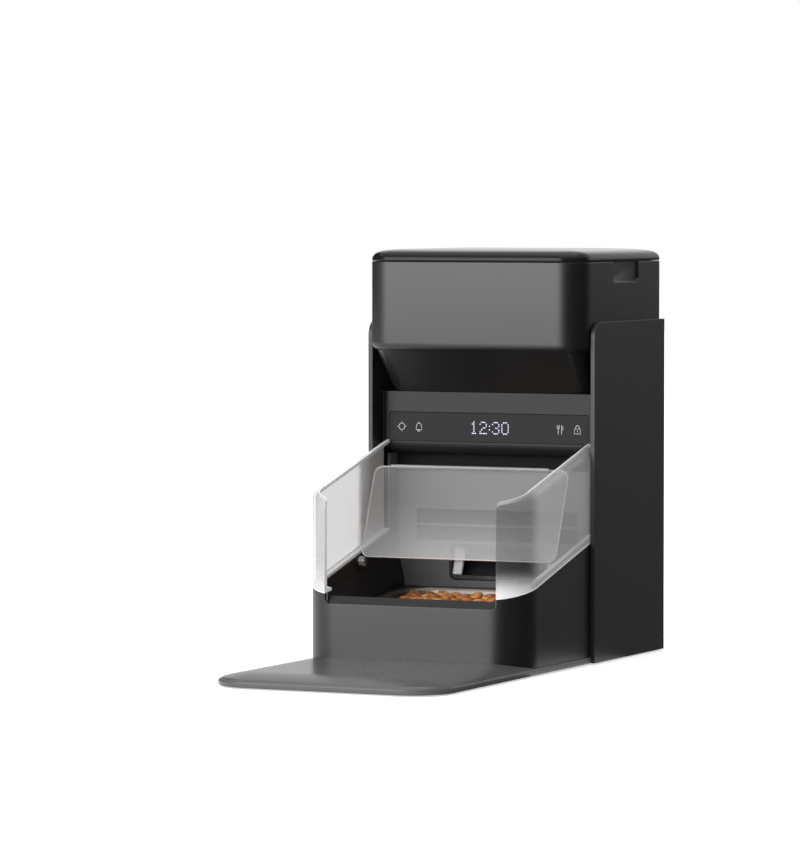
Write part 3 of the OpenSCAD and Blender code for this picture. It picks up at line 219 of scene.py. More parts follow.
# clear polycarbonate; the fades say where its front, height and rear zones begin and end, and the painted
# reflection lies low in the front zone
clearCommon = {"fadeBack": (-40, -20), "fadeUp": (60, 82), "fadeRear": (42, 50), "rim": 0.5, "rimStart": 0.75,
               "patchMm": 40, "rough": 0.22, "roughSpread": 0.04, "gloss": 0.5}
clearLooks = {
    "shieldRightPc": {"tones": ("#505050", "#c2c2c2", "#f0f0f0"), "haze": (0.3, 0.4, 0.42, 0.85)},
    # the left shield is painted lighter than the right, with a hazier rear: painted light that shines through
    # it from the lamp on its outside
    "shieldLeftLitPc": {"tones": ("#b0b0b0", "#e8e8e8", "#e4e4e4"), "haze": (0.3, 0.4, 0.82, 0.6)},
    "flapPc": {"tones": ("#b4b4b4", "#b4b4b4", "#c8c8c8"), "haze": (0.12, 0.12, 0.12, 0.31),
               "fadeBack": (20, 60), "fadeUp": (76, 140), "rough": 0.25},
    "hookPc": {"tones": ("#b4b4b4", "#b4b4b4", "#b4b4b4"), "haze": (0.42, 0.42, 0.42, 0.42),
               "rim": 0.7, "rough": 0.15},
    # near white and nearly opaque: a painted highlight along the cut edges
    "edgeHighlightPc": {"tones": ("#e8e8e8", "#f0f0f0", "#f4f4f4"), "haze": (0.85, 0.85, 0.85, 0.9),
               "rim": 0.1, "gloss": 0.6},
}
# stainless steel, zinc-plated steel, sintered brass and enamelled copper wire
metalCommon = {"patchMm": 30, "lineBump": 0.08, "lineDeepMm": 0.02, "smoother": 0.06, "rougher": 0.08}
metalLooks = {
    "bowlSteel": {"dark": "#7c756e", "light": "#8e8780", "rough": 0.4, "lineMm": 0.8, "brush": (0.1, 1, 1)},
    "partSteel": {"dark": "#9a9a9a", "light": "#a8a8a8", "rough": 0.32, "lineMm": 0.5, "brush": (1, 0.2, 1)},
    "bushBrass": {"dark": "#b0893a", "light": "#c49a46", "rough": 0.3, "lineMm": 0.5, "brush": (1, 1, 1)},
    "coilCopper": {"dark": "#a8623a", "light": "#b8703f", "rough": 0.35, "lineMm": 0.4, "brush": (0.1, 1, 1)},
}
foodCommon = {"patchMm": 6, "poreMm": 1.2, "poreBump": 0.5, "poreDeepMm": 0.25, "rough": (0.32, 0.55)}
foodLooks = {
    "foodPale": {"dark": "#c07c46", "light": "#dea468"},
    "foodBrown": {"dark": "#9c5a30", "light": "#c07844"},
}
litCommon = {"patchMm": 2, "rough": 0.4}
litLooks = {
    "litDigits": {"dark": "#c8c4e6", "light": "#dcd8f6", "strength": 0.8},
    "litIcons": {"dark": "#b0b0b0", "light": "#c4c4c4", "strength": 0.42},
}
paint = {}
for build, common, looks in ((mouldedPlastic, mouldedCommon, mouldedLooks),
                             (frostedPolycarbonate, clearCommon, clearLooks),
                             (brushedMetal, metalCommon, metalLooks),
                             (bakedFood, foodCommon, foodLooks),
                             (litMark, litCommon, litLooks)):
    for name, look in looks.items():
        paint[name] = build(name, {**common, **look})
print("materials done")

nodePaint = {
    "bodyAbs": ["body_housing"],
    "shellAbs": ["rear_shell", "rear_housing", "tower_housing", "battery_cover"],
    "fasciaAbs": ["fascia_panel"],
    "trayAbs": ["bowl_tray"],
    "bayAbs": ["bay_back_panel"],
    "innerAbs": ["feed_chute", "rotor_housing", "battery_box", "power_inlet", "food_sensors",
                 "desiccant_box", "rotor_wheel"],
    "outletAbs": ["outlet_bezel"],
    "matAbs": ["base_plate"],
    "feetRubber": ["rubber_feet"],
    "sealRubber": ["tank_seal", "lid_seal"],
    "boardLaminate": ["display_board", "main_board"],
    "windowAcrylic": ["display_window"],
    "shieldLeftLitPc": ["left_shield"],
    "shieldRightPc": ["right_shield"],
    "flapPc": ["flap"],
    "hookPc": ["flap_catch"],
    "bowlSteel": ["bowl"],
    "tankAbs": ["tank", "tank_funnel"],
    "lidAbs": ["lid"],
    "partSteel": ["housing_screws", "shell_screws", "board_screws", "rotor_shaft", "feed_gearmotor",
                  "flap_gearmotor", "flap_motor_crank", "flap_push_rod", "flap_drive_crank",
                  "flap_hinge_pin", "battery_contacts"],
    "bushBrass": ["rotor_bushes"],
    "coilCopper": ["antenna_coil"],
}
for name, members in nodePaint.items():
    for member in members:
        holder = cad[member]
        if not holder.material_slots:
            holder.data.materials.append(paint[name])
        for materialSlot in holder.material_slots:
            materialSlot.material = paint[name]


# mesh helpers
def placeObject(name, data):
    holder = bpy.data.objects.new(name, data)
    bpy.context.scene.collection.objects.link(holder)
    return holder


def placeMesh(name, verts, faces, materials=(), unit=mm):
    mesh = bpy.data.meshes.new(name)
    mesh.from_pydata([tuple(c * unit for c in v) for v in verts], [], faces)
    for material in materials:
        mesh.materials.append(material)
    return placeObject(name, mesh)


def cleanMesh(mesh):
    shape = bmesh.new()
    shape.from_mesh(mesh)
    bmesh.ops.remove_doubles(shape, verts=shape.verts, dist=1e-6)
    bmesh.ops.recalc_face_normals(shape, faces=shape.faces)
    shape.to_mesh(mesh)
    shape.free()


def smoothMesh(mesh, sharp):
    for polygon in mesh.polygons:
        polygon.use_smooth = True
    mesh.set_sharp_from_angle(angle=math.radians(sharp))


# kinds gives each face its place in the list of materials
def makePiece(name, verts, faces, materials, body, replaced=(), sharp=35, kinds=()):
    piece = placeMesh(name, verts, faces, [paint[material] for material in materials])
    for polygon, kind in zip(piece.data.polygons, kinds):
        polygon.material_index = kind
    cleanMesh(piece.data)
    smoothMesh(piece.data, sharp)
    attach(piece, body)
    for node in replaced:
        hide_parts(node)
    return piece


# a closed outline with four quarter rounds: radius r0 at the low side, r1 at the high side
def roundedOutline(x0, x1, y0, y1, r0, r1, steps):
    rounds = ((x1 - r0, y0 + r0, r0, -90), (x1 - r1, y1 - r1, r1, 0),
              (x0 + r1, y1 - r1, r1, 90), (x0 + r0, y0 + r0, r0, 180))
    return [(x + r * math.cos(a), y + r * math.sin(a)) for x, y, r, start in rounds
            for a in (math.radians(start + 90 * k / steps) for k in range(steps + 1))]


def ringPoints(halfWidth, front, back, frontRadius, backRadius, z, steps=20):
    outline = roundedOutline(-halfWidth, halfWidth, front, back, frontRadius, backRadius, steps)
    return [(x, y, z) for x, y in outline]


# a skin over rings of equal count: open ends are capped, a closed one joins its last ring to its first
def skinRings(rings, closed=False):
    count = len(rings[0])
    verts = [p for ring in rings for p in ring]
    faces = []
    pairs = [(i, i + 1) for i in range(len(rings) - 1)] + ([(len(rings) - 1, 0)] if closed else [])
    for a, b in pairs:
        for k in range(count):
            n = (k + 1) % count
            faces.append((a * count + k, a * count + n, b * count + n, b * count + k))
    if not closed:
        faces += [tuple(reversed(range(count))), tuple(range(len(verts) - count, len(verts)))]
    return verts, faces


def joined(shapes):
    verts, faces = [], []
    for shapeVerts, shapeFaces in shapes:
        faces += [tuple(i + len(verts) for i in face) for face in shapeFaces]
        verts += shapeVerts
    return verts, faces


# tank: one skin from the foot up the outside, over the rim and down the funnel to the throat
# the lists hold (inset, height) pairs; edge heights are counted from the top
tank = {"halfWidth": 91.3, "front": 52.3, "back": 211, "frontRadius": 21.7, "backRadius": 2.4, "wall": 2.2,
        "innerBackRadius": 1, "low": 205.6, "top": 306.2, "sharp": 28,
        "foot": {"halfWidth": 83.5, "front": 85.3, "frontRadius": 14},
        "roll": [(4.2, 238), (2.8, 238.6), (1.5, 239.6), (0.6, 240.8), (0.15, 242.2), (0, 244)],
        "edge": [(0, -0.5), (0.2, -0.15), (0.5, 0)], "edgeRound": 0.4,
        "lipLow": 285.8, "wallHigh": 282.8, "wallLow": 247, "shoulderInset": 4, "shoulderZ": 240,
        "throat": {"halfWidth": 38, "front": 130.8, "back": 180.8, "radius": 5, "tall": 4},
        "grip": {"y": 141.25, "z": 300.2, "length": 50.6, "height": 20, "depth": 2, "corner": 4}}


def tankOutline(inset, z, backInset=0, t=tank):
    backRadius = t["innerBackRadius"] if backInset else t["backRadius"]
    return ringPoints(t["halfWidth"] - inset, t["front"] + inset, t["back"] - backInset,
                      t["frontRadius"] - inset, backRadius, z)


def buildTank(t):
    foot, throat = t["foot"], t["throat"]
    wall, lip, top, soft = t["wall"], 2 * t["wall"], t["top"], t["edgeRound"]
    footRing = ringPoints(foot["halfWidth"], foot["front"], t["back"], foot["frontRadius"], t["backRadius"],
                          t["low"])
    outside = t["roll"] + [(inset, top + z) for inset, z in t["edge"]]
    inside = [(lip - soft, top), (lip, top - soft), (lip, t["lipLow"])]
    inside += [(wall, t["wallHigh"]), (wall, t["wallLow"])]
    shoulder = tankOutline(wall + t["shoulderInset"], t["shoulderZ"], wall)
    throatRings = [ringPoints(throat["halfWidth"], throat["front"], throat["back"], throat["radius"],
                              throat["radius"], z) for z in (t["low"] + throat["tall"], t["low"])]
    rings = [footRing] + [tankOutline(inset, z) for inset, z in outside]
    rings += [tankOutline(inset, z, inset) for inset, z in inside] + [shoulder] + throatRings
    verts, faces = skinRings(rings, closed=True)
    return makePiece("tank_body", verts, faces, ["tankAbs"], "tank", ["tank", "tank_funnel"],
                     t["sharp"])


def cutAway(piece, cutter, sharp):
    modifier = piece.modifiers.new("cut", "BOOLEAN")
    modifier.operation = "DIFFERENCE"
    modifier.solver = "EXACT"
    modifier.object = cutter
    bpy.context.view_layer.update()
    result = bpy.data.meshes.new_from_object(piece.evaluated_get(bpy.context.evaluated_depsgraph_get()))
    piece.modifiers.clear()
    piece.data = result
    bpy.data.objects.remove(cutter)
    smoothMesh(result, sharp)


# finger recesses at the top of both sides: each step is a distance from the middle and a share of the outline
def cutGrips(piece, t):
    g = t["grip"]
    half, tall = g["length"] / 2, g["height"] / 2
    outline = roundedOutline(-half, half, -tall, tall, g["corner"], g["corner"], 8)
    floor = t["halfWidth"] - g["depth"]
    steps = ((floor, 0.93), (floor + 0.5, 0.98), (floor + g["depth"], 1), (t["halfWidth"] + 4, 1))
    for side in (1, -1):
        rings = [[(side * x, g["y"] + y * share, g["z"] + z * share) for y, z in outline]
                 for x, share in steps]
        cutter = placeMesh("gripCut", *skinRings(rings))
        cleanMesh(cutter.data)
        cutAway(piece, cutter, t["sharp"])


cutGrips(buildTank(tank), tank)

# lid: edge, crown and the plug that reaches into the tank
# edge holds (inset, height over low), crown holds (inset, share of the rise from edgeTop to top)
lid = {"low": 306.5, "edgeTop": 310.7, "top": 316.2, "leastFrontRadius": 4, "leastBackRadius": 1.6,
       "plugLow": 297.2, "plugHigh": 308, "plugInset": 5.0, "plugWall": 1.8,
       "edge": [(0.8, 0), (0.25, 0.2), (0, 0.8), (0.05, 1.8), (0.25, 2.8), (0.6, 3.6)],
       "crown": [(1.0, 0), (1.5, 0.14), (2.2, 0.27), (3.2, 0.4), (4.6, 0.52), (6.6, 0.63), (9.5, 0.73),
                 (14, 0.82), (22, 0.91), (36, 0.98), (60, 1)]}


def lidOutline(inset, z, c=lid, t=tank):
    return ringPoints(t["halfWidth"] - inset, t["front"] + inset, t["back"] - inset,
                      max(t["frontRadius"] - inset, c["leastFrontRadius"]),
                      max(t["backRadius"] - inset, c["leastBackRadius"]), z)


def buildLid(c):
    outer, inner = c["plugInset"], c["plugInset"] + c["plugWall"]
    section = [(inner, c["plugHigh"]), (inner, c["plugLow"]), (outer, c["plugLow"]), (outer, c["low"])]
    section += [(inset, c["low"] + z) for inset, z in c["edge"]]
    section += [(inset, c["edgeTop"] + (c["top"] - c["edgeTop"]) * share) for inset, share in c["crown"]]
    verts, faces = skinRings([lidOutline(inset, z) for inset, z in section])
    return makePiece("lid_cover", verts, faces, ["lidAbs"], "lid", ["lid"], 32)


buildLid(lid)
print("tank and lid done")

# clear shields: one profile swept round the body's front bend and straight back along its side
shield = {"outer": 91.5, "bendRadius": 30.8, "front": -58.2, "back": 85.0, "halfOpening": 70.5, "tall": 71.8,
          "wall": 2.5, "rollIn": 8, "rollHigh": 5.8, "rollShare": 0.35, "rollSteps": 8, "footWide": 7.5,
          "footHigh": 1, "fillet": 0.8, "rimFront": 57.5, "rimTilt": 15, "gap": 0.3, "cornerRadius": 4,
          "cornerSteps": (0, 0.02, 0.08, 0.18, 0.32, 0.5, 0.72, 1), "bendSteps": 28, "sideSteps": 12}


def rimHeight(y, s=shield):
    return s["rimFront"] + (y - s["front"]) * math.tan(math.radians(s["rimTilt"]))


# 12 points up the outside from foot to rolled tip, then 13 down the inside, as (depth from the face, height)
def shieldProfile(reach, rise, s=shield):
    low, high, wall, fillet = s["gap"], s["tall"] - s["rollHigh"], s["wall"], s["fillet"]
    curve = [math.radians(90 * k / s["rollSteps"]) for k in range(1, s["rollSteps"] + 1)]
    outer = [(0, low), (0, low + s["footHigh"]), (0, wall), (0, high)]
    outer += [(reach * (1 - math.cos(b)), high + rise * math.sin(b)) for b in curve]
    innerRise = rise * (1 - wall / s["rollHigh"])
    inner = [(s["footWide"], low), (s["footWide"], wall)]
    inner += [(wall + fillet, wall), (wall, wall + fillet), (wall, high)]
    inner += [(wall + (reach - wall) * (1 - math.cos(b)), high + innerRise * math.sin(b)) for b in curve]
    return outer + inner[::-1]


def buildShield(s, side, name, node, finish):
    radius, bendX, bendY = s["bendRadius"], s["outer"] - s["bendRadius"], s["front"] + s["bendRadius"]
    start = math.degrees(math.asin((s["halfOpening"] - bendX) / radius))
    cornerTurn = math.degrees(s["cornerRadius"] / radius)
    angles = [start + cornerTurn * u for u in s["cornerSteps"]]
    angles += [angles[-1] + (90 - angles[-1]) * k / s["bendSteps"] for k in range(1, s["bendSteps"] + 1)]
    # the rolled edge rises in a quarter round over the corner, and reaches further in along the bend
    sections = []
    for angle in angles:
        u = max(0, 1 - (angle - start) / cornerTurn)
        left = 1 - s["cornerRadius"] / s["rollHigh"] * (1 - math.sqrt(max(0, 1 - u * u)))
        reach = s["rollIn"] * (s["rollShare"] + (1 - s["rollShare"]) * (angle - start) / (90 - start))
        turn = math.radians(angle)
        section = []
        for depth, height in shieldProfile(reach, s["rollHigh"] * left):
            y = bendY - (radius - depth) * math.cos(turn)
            section.append((side * (bendX + (radius - depth) * math.sin(turn)), y, rimHeight(y) + height))
        sections.append(section)
    for k in range(1, s["sideSteps"] + 1):
        y = bendY + (s["back"] - bendY) * k / s["sideSteps"]
        sections.append([(side * (s["outer"] - depth), y, rimHeight(y) + height)
                         for depth, height in shieldProfile(s["rollIn"], s["rollHigh"])])
    verts, faces = skinRings(sections)
    count = len(sections[0])
    # both ends and these strips take the near-white edge material, a painted highlight on the cut edges: the
    # foot's outside, the rolled tip and the foot's inside
    edgeStrips = (0, 10, 11, 12, 21, 22, 23, 24)
    kinds = [1 if len(face) > 4 or face[0] % count in edgeStrips else 0 for face in faces]
    return makePiece(name, verts, faces, [finish, "edgeHighlightPc"], "feeder", [node], 40, kinds)


buildShield(shield, 1, "shield_right", "right_shield", "shieldRightPc")
buildShield(shield, -1, "shield_left", "left_shield", "shieldLeftLitPc")
print("shields done")

# flap: clear plate with a turned border and open hinge clips, built upright and then leaned back
flap = {"hinge": (0, 26.8, 76.8757), "lean": 21.4, "width": 163, "tall": 76.9, "low": 3.4, "thick": 2.2,
        "corner": 6.8, "border": 4, "borderHalf": 66.5, "borderThick": 2, "borderCorner": 0.8,
        "clipWide": 4, "clipInset": 0.4, "clipRadius": 3.8, "clipStart": -15, "clipSweep": 300, "pin": 2.25}


def upright(points, f=flap):
    turn = Matrix.Rotation(math.radians(-f["lean"]), 3, "X")
    return [tuple(turn @ Vector(p) + Vector(f["hinge"])) for p in points]


# a plate across Y with rounded corners and softened edges
def slab(x0, x1, y0, y1, z0, z1, r, steps=8):
    outline = roundedOutline(x0, x1, z0, z1, r, r, steps)
    middleX, middleZ = (x0 + x1) / 2, (z0 + z1) / 2
    soft = min(0.4, (y1 - y0) / 3, r * 0.6)

    def layer(y, inset):
        shareX, shareZ = 1 - inset / ((x1 - x0) / 2), 1 - inset / ((z1 - z0) / 2)
        return [(middleX + (x - middleX) * shareX, y, middleZ + (z - middleZ) * shareZ) for x, z in outline]
    return skinRings([layer(y0, soft), layer(y0 + soft, 0), layer(y1 - soft, 0), layer(y1, soft)])


# a C-shaped clip round the hinge pin: its outline runs out along the outer arc and back along the inner one
def clipShape(x0, x1, f=flap):
    steps, start, sweep = 28, f["clipStart"], f["clipSweep"]
    out = [math.radians(start - sweep * k / steps) for k in range(steps + 1)]
    back = [math.radians(start - sweep + sweep * k / steps) for k in range(steps + 1)]
    outline = [(r * math.cos(a), r * math.sin(a))
               for r, arc in ((f["clipRadius"], out), (f["pin"], back)) for a in arc]
    verts = [(x, y, z) for x in (x0, x1) for y, z in outline]
    count = len(outline)
    faces = [(k, (k + 1) % count, count + (k + 1) % count, count + k) for k in range(count)]
    for k in range(steps):
        a, b, c, d = k, k + 1, count - 2 - k, count - 1 - k
        faces += [(a, b, c, d), (count + d, count + c, count + b, count + a)]
    return verts, faces


def buildFlap(f):
    w, t, top = f["width"] / 2, f["thick"] / 2, f["tall"]
    plate = slab(-w, w, -t, t, f["low"], top, f["corner"])
    border = slab(-f["borderHalf"], f["borderHalf"], -t - f["border"], 0, top - f["borderThick"], top,
                  f["borderCorner"])
    starts = (-w + f["clipInset"], w - f["clipInset"] - f["clipWide"])
    clips = [clipShape(x, x + f["clipWide"]) for x in starts]
    verts, faces = joined([plate, border] + clips)
    # 0 for the plate's two broad faces, 1 for the quads round its rim, which take the painted edge highlight,
    # 2 for border and clips
    kinds = [1 if len(face) == 4 else 0 for face in plate[1]]
    kinds += [2] * (len(faces) - len(kinds))
    return makePiece("flap_panel", upright(verts), faces, ["flapPc", "edgeHighlightPc", "hookPc"], "flap", ["flap"],
                     35, kinds)


buildFlap(flap)
print("flap done")

# a black strip, painted shadow in the slot over the open flap; gap keeps it off the wall behind it
shadowStrip = {"half": 84, "low": 145.5, "high": 157.5, "back": 101, "thick": 2.4, "gap": 0.05, "corner": 1}


def buildShadowStrip(f):
    verts, faces = slab(-f["half"], f["half"], f["back"] - f["thick"], f["back"] - f["gap"],
                        f["low"], f["high"], f["corner"])
    return makePiece("painted_shadow_strip", verts, faces, ["paintedShadowBlack"], "feeder")


buildShadowStrip(shadowStrip)

# bowl: pressed pan with a flat rim and a rolled edge, lying on its sloping seat
# the lists hold (inset, height): under and well count from the rim's inner line, edge from its outer one
bowl = {"halfWidth": 76, "length": 142, "rim": 5, "corner": 34, "leastCorner": 4, "seat": (0, 98, 52.2),
        "tilt": 5.5, "lift": 0.2,
        "under": [(12, -26.6), (7, -25.6), (4.5, -22.5), (3.4, -18), (0.5, 0)],
        "edge": [(0.4, 0), (0.05, 0.3), (0.15, 0.7), (0.5, 1.25), (1.1, 1.4)],
        "well": [(-0.9, 1.3), (0, 1.0), (0.9, 0.2), (1.6, -1.4), (4.2, -8), (5.4, -18), (6.2, -21.5),
                 (8, -24.4), (11, -25.8), (15, -26.1)]}


def bowlPlace(points, b=bowl):
    turn = Matrix.Rotation(math.radians(b["tilt"]), 3, "X")
    base = Vector(b["seat"]) + Vector((0, 0, b["lift"]))
    return [tuple(turn @ Vector(p) + base) for p in points]


def buildBowl(b):
    under, well = ([(b["rim"] + inset, z) for inset, z in b[part]] for part in ("under", "well"))
    section = under + b["edge"] + well
    rings = []
    for inset, z in section:
        radius = max(b["corner"] - inset, b["leastCorner"])
        rings.append(ringPoints(b["halfWidth"] - inset, inset - b["length"], -inset, radius, radius, z, 14))
    verts, faces = skinRings(rings)
    return makePiece("bowl_pan", bowlPlace(verts), faces, ["bowlSteel"], "bowl", ["bowl"], 50)


buildBowl(bowl)

# dry food: small baked rings and discs heaped in layers in the bowl
food = {"seed": 7, "radius": (5.0, 6.3), "thick": (4.2, 5.6), "lean": 0.3, "wobble": 0.06, "ringShare": 0.4,
        "paleShare": 0.55, "layers": 3, "top": 1.0, "depth": 9.5, "layerRise": 3.4, "step": 10.6, "jitter": 2,
        "heightJitter": 0.7, "inset": 14, "layerInset": 1.2, "corner": 16, "dome": 0.8, "domeReach": 30}


# a torus: thick round a hole for a ring, nearly shut and a little flatter for a disc
def foodPiece(rng, centre, radius, thick, hole, f=food):
    around, across = 18, 8
    spin = Matrix.Rotation(rng.uniform(0, 6.28), 3, "Z")
    leanX = Matrix.Rotation(rng.uniform(-f["lean"], f["lean"]), 3, "X")
    leanY = Matrix.Rotation(rng.uniform(-f["lean"], f["lean"]), 3, "Y")
    wobble = [rng.uniform(-f["wobble"], f["wobble"]) for _ in range(3)]
    middle, innerShare, flat = (radius * 0.62, 1, 1) if hole else (radius * 0.5, 0.96, 0.9)
    tube = radius - middle
    verts, faces = [], []
    for i in range(around):
        a = 2 * math.pi * i / around
        bumpy = 1 + wobble[0] * math.cos(2 * a) + wobble[1] * math.sin(3 * a) + wobble[2] * math.cos(5 * a)
        for j in range(across):
            c = 2 * math.pi * j / across
            out = middle + tube * math.cos(c) * (1 if math.cos(c) > 0 else innerShare)
            z = thick / 2 * math.sin(c) * flat
            p = Vector((out * bumpy * math.cos(a), out * bumpy * math.sin(a), z))
            verts.append(tuple((leanX @ leanY) @ (spin @ p) + centre))
            n, m = (i + 1) % around, (j + 1) % across
            faces.append((i * across + j, n * across + j, n * across + m, i * across + m))
    return verts, faces


def buildFood(f, b=bowl):
    rng = random.Random(f["seed"])
    heaps = {"foodPale": [], "foodBrown": []}
    step, jitter, corner = f["step"], f["jitter"], f["corner"]
    columns, rows = int(2 * b["halfWidth"] / step) + 1, int(b["length"] / step) + 1
    cells = [(layer, i, j) for layer in range(f["layers"]) for i in range(columns) for j in range(rows)]
    for layer, i, j in cells:
        shrink = f["inset"] + f["layerInset"] * layer
        halfWidth, front, back = b["halfWidth"] - shrink, shrink - b["length"], -shrink
        x = -b["halfWidth"] + i * step + layer * step / 2 + rng.uniform(-jitter, jitter)
        y = -b["length"] + j * step + layer * step / 2 + rng.uniform(-jitter, jitter)
        edge = min(halfWidth - abs(x), y - front, back - y)
        cornerX = max(0, abs(x) - (halfWidth - corner))
        cornerY = max(0, front + corner - y, y - (back - corner))
        if edge < 0 or math.hypot(cornerX, cornerY) > corner:
            continue
        z = f["top"] - f["depth"] + layer * f["layerRise"] + f["dome"] * min(1, edge / f["domeReach"])
        centre = Vector((x, y, z + rng.uniform(-f["heightJitter"], f["heightJitter"])))
        radius, thick = rng.uniform(*f["radius"]), rng.uniform(*f["thick"])
        pale, hole = rng.random() < f["paleShare"], rng.random() < f["ringShare"]
        heaps["foodPale" if pale else "foodBrown"].append(foodPiece(rng, centre, radius, thick, hole))
    for name, pieces in heaps.items():
        verts, faces = joined(pieces)
        makePiece("dry_" + name, bowlPlace(verts), faces, [name], "bowl", sharp=80)


buildFood(food)
print("bowl and food done")

# display: a dot matrix time and four thin line icons, just in front of the window's face
display = {"face": 85.3, "digitX": -15.3, "digitWide": 32.9, "digitZ": 178, "dotRows": 7, "dotShare": 0.32,
           "dotThick": 0.12, "tall": 10, "text": "12:30", "icons": (-73.4, -58.8, 60.3, 74.9), "iconZ": 178,
           "line": 0.3, "lineThick": 0.1}
digitDots = {
    "1": ("00100", "01100", "00100", "00100", "00100", "00100", "01110"),
    "2": ("01110", "10001", "00001", "00110", "01000", "10000", "11111"),
    ":": ("0", "0", "1", "0", "1", "0", "0"),
    "3": ("01110", "10001", "00001", "00110", "00001", "10001", "01110"),
    "0": ("01110", "10001", "10001", "10001", "10001", "10001", "01110"),
}


def circlePath(cx, cz, r, start=0, end=360, steps=28):
    turns = [math.radians(start + (end - start) * k / steps) for k in range(steps + 1)]
    return [(cx + r * math.cos(a), cz + r * math.sin(a)) for a in turns]


def flatDisc(x, z, r, y, thick, steps=14):
    outline = circlePath(x, z, r, steps=steps)[:-1]
    return skinRings([[(px, depth, pz) for px, pz in outline] for depth in (y - thick, y)])


def buildDigits(d):
    rowCount = d["dotRows"]
    columns = []
    for character in d["text"]:
        columns += [[dot == "1" for dot in column] for column in zip(*digitDots[character])]
        columns.append([False] * rowCount)
    columns.pop()
    step, pitch = d["digitWide"] / len(columns), d["tall"] / rowCount
    dots = []
    for i, column in enumerate(columns):
        for row, lit in enumerate(column):
            if lit:
                x, z = d["digitX"] + (i + 0.5) * step, d["digitZ"] + ((rowCount - 1) / 2 - row) * pitch
                dots.append(flatDisc(x, z, d["dotShare"] * min(pitch, step), d["face"], d["dotThick"]))
    verts, faces = joined(dots)
    return makePiece("display_digits", verts, faces, ["litDigits"], "feeder")


# a stroke along the points, its ends left open where nothing is seen of them
def ribbon(points, wide, y, thick, closed):
    n = len(points)
    left, right = [], []
    for i, (x, z) in enumerate(points):
        a = points[i - 1] if (i > 0 or closed) else (x, z)
        b = points[(i + 1) % n] if (i < n - 1 or closed) else (x, z)
        dx, dz = b[0] - a[0], b[1] - a[1]
        size = math.hypot(dx, dz)
        nx, nz = -dz / size * wide / 2, dx / size * wide / 2
        left.append((x + nx, z + nz))
        right.append((x - nx, z - nz))
    verts = [(x, depth, z) for depth in (y - thick, y) for x, z in left + right]
    faces = []
    for i in range(n if closed else n - 1):
        j = (i + 1) % n
        faces += [(i, j, n + j, n + i), (3 * n + i, 3 * n + j, 2 * n + j, 2 * n + i),
                  (i, 2 * n + i, 2 * n + j, j), (n + i, n + j, 3 * n + j, 3 * n + i)]
    return verts, faces


# each stroke is its points round the icon's centre, its share of the line's width, and whether it is closed
def iconStrokes():
    ring = [(circlePath(0, 0, 2.5)[:-1], 1, True)]
    for a in (math.radians(90 * k) for k in range(4)):
        ring.append(([(r * math.cos(a), r * math.sin(a)) for r in (3.1, 3.8)], 1, False))
    turns = [math.radians(a) for a in range(180, -1, -20)]
    crown = [(2 * math.cos(a), 0.6 + 2.2 * math.sin(a)) for a in turns]
    bell = [([(-2.6, -2.4), (-2.2, -0.4)] + crown + [(2.2, -0.4), (2.6, -2.4)], 1, True),
            (circlePath(0, -2.6, 1, 180, 360, 8), 1, False),
            ([(0, 2.8), (0, 3.7)], 1, False)]
    cutlery = [([(x, 3.4), (x, 0.8)], 0.8, False) for x in (-2.4, -1.4, -0.4)]
    cutlery += [([(-2.4, 0.8), (-0.4, 0.8)], 0.8, False),
                ([(-1.4, 0.8), (-1.4, -3.6)], 1, False),
                ([(1.4, -3.6), (1.4, 3.4), (2.5, 2.2), (2.5, -0.2), (1.4, -0.2)], 1, False)]
    padlock = [([(-2.5, -3), (2.5, -3), (2.5, 0.8), (-2.5, 0.8)], 1, True),
               ([(-1.5, 0.8)] + circlePath(0, 1.8, 1.5, 180, 0, 12) + [(1.5, 0.8)], 1, False),
               ([(0, -0.4), (0, -1.8)], 1, False)]
    return ring, bell, cutlery, padlock


def buildIcons(d):
    shapes = []
    for centre, strokes in zip(d["icons"], iconStrokes()):
        for points, share, closed in strokes:
            placed = [(centre + x, d["iconZ"] + z) for x, z in points]
            shapes.append(ribbon(placed, d["line"] * share, d["face"], d["lineThick"], closed))
    verts, faces = joined(shapes)
    return makePiece("display_icons", verts, faces, ["litIcons"], "feeder")


buildDigits(display)
buildIcons(display)
print("display done")

# studio, in metres: a pale floor, softboxes, a white world and dark cards that only reflections see
studio = {"world": 0.4, "floor": {"dark": "#f4f4f4", "light": "#f8f8f8", "patchMm": 400, "rough": 0.9},
          "floorHalf": 9, "floorSteps": 24, "floorGlow": (0.62, 1.0), "glowReach": (0.5, 2.5),
          "cardCentreY": 0.05, "cardSteps": 16}
# a card is a band round part of the object: name, first and last angle in degrees, then radius and height of
# its near and its far edge, and its colour
cards = [
    ("cardRight", 8, 125, (2.6, 0), (2.6, 2.2), "#080808"),
    ("cardRightFloor", 20, 125, (0.13, 0.001), (2.6, 0.001), "#080808"),
    ("cardBack", 125, 176, (2.6, 0), (2.6, 0.5), "#787878"),
    ("cardBackFloor", 125, 176, (0.13, 0.001), (2.6, 0.001), "#6c6c6c"),
    ("cardLeft", -138, -62, (2.6, 0), (2.6, 2.2), "#101010"),
]
# a softbox: name, place, the point it faces, its two sizes and its power in watts
softboxes = [
    ("frontBox", (-1.05, -2.8, 0.95), (0, 0, 0.2), (2.8, 2.6), 130),
    ("topBox", (0.1, 0.1, 2.3), (0, 0, 0.1), (2.0, 2.0), 18),
]


# 1 where the camera looks, also by a reflection or through a clear part, and 0 for light that falls on things
def seenDirectly(tree):
    path = addNode(tree, "ShaderNodeLightPath").outputs
    seen = compute(tree, "MAXIMUM", path["Is Camera Ray"], path["Is Glossy Ray"])
    return compute(tree, "MAXIMUM", seen, path["Is Transmission Ray"])


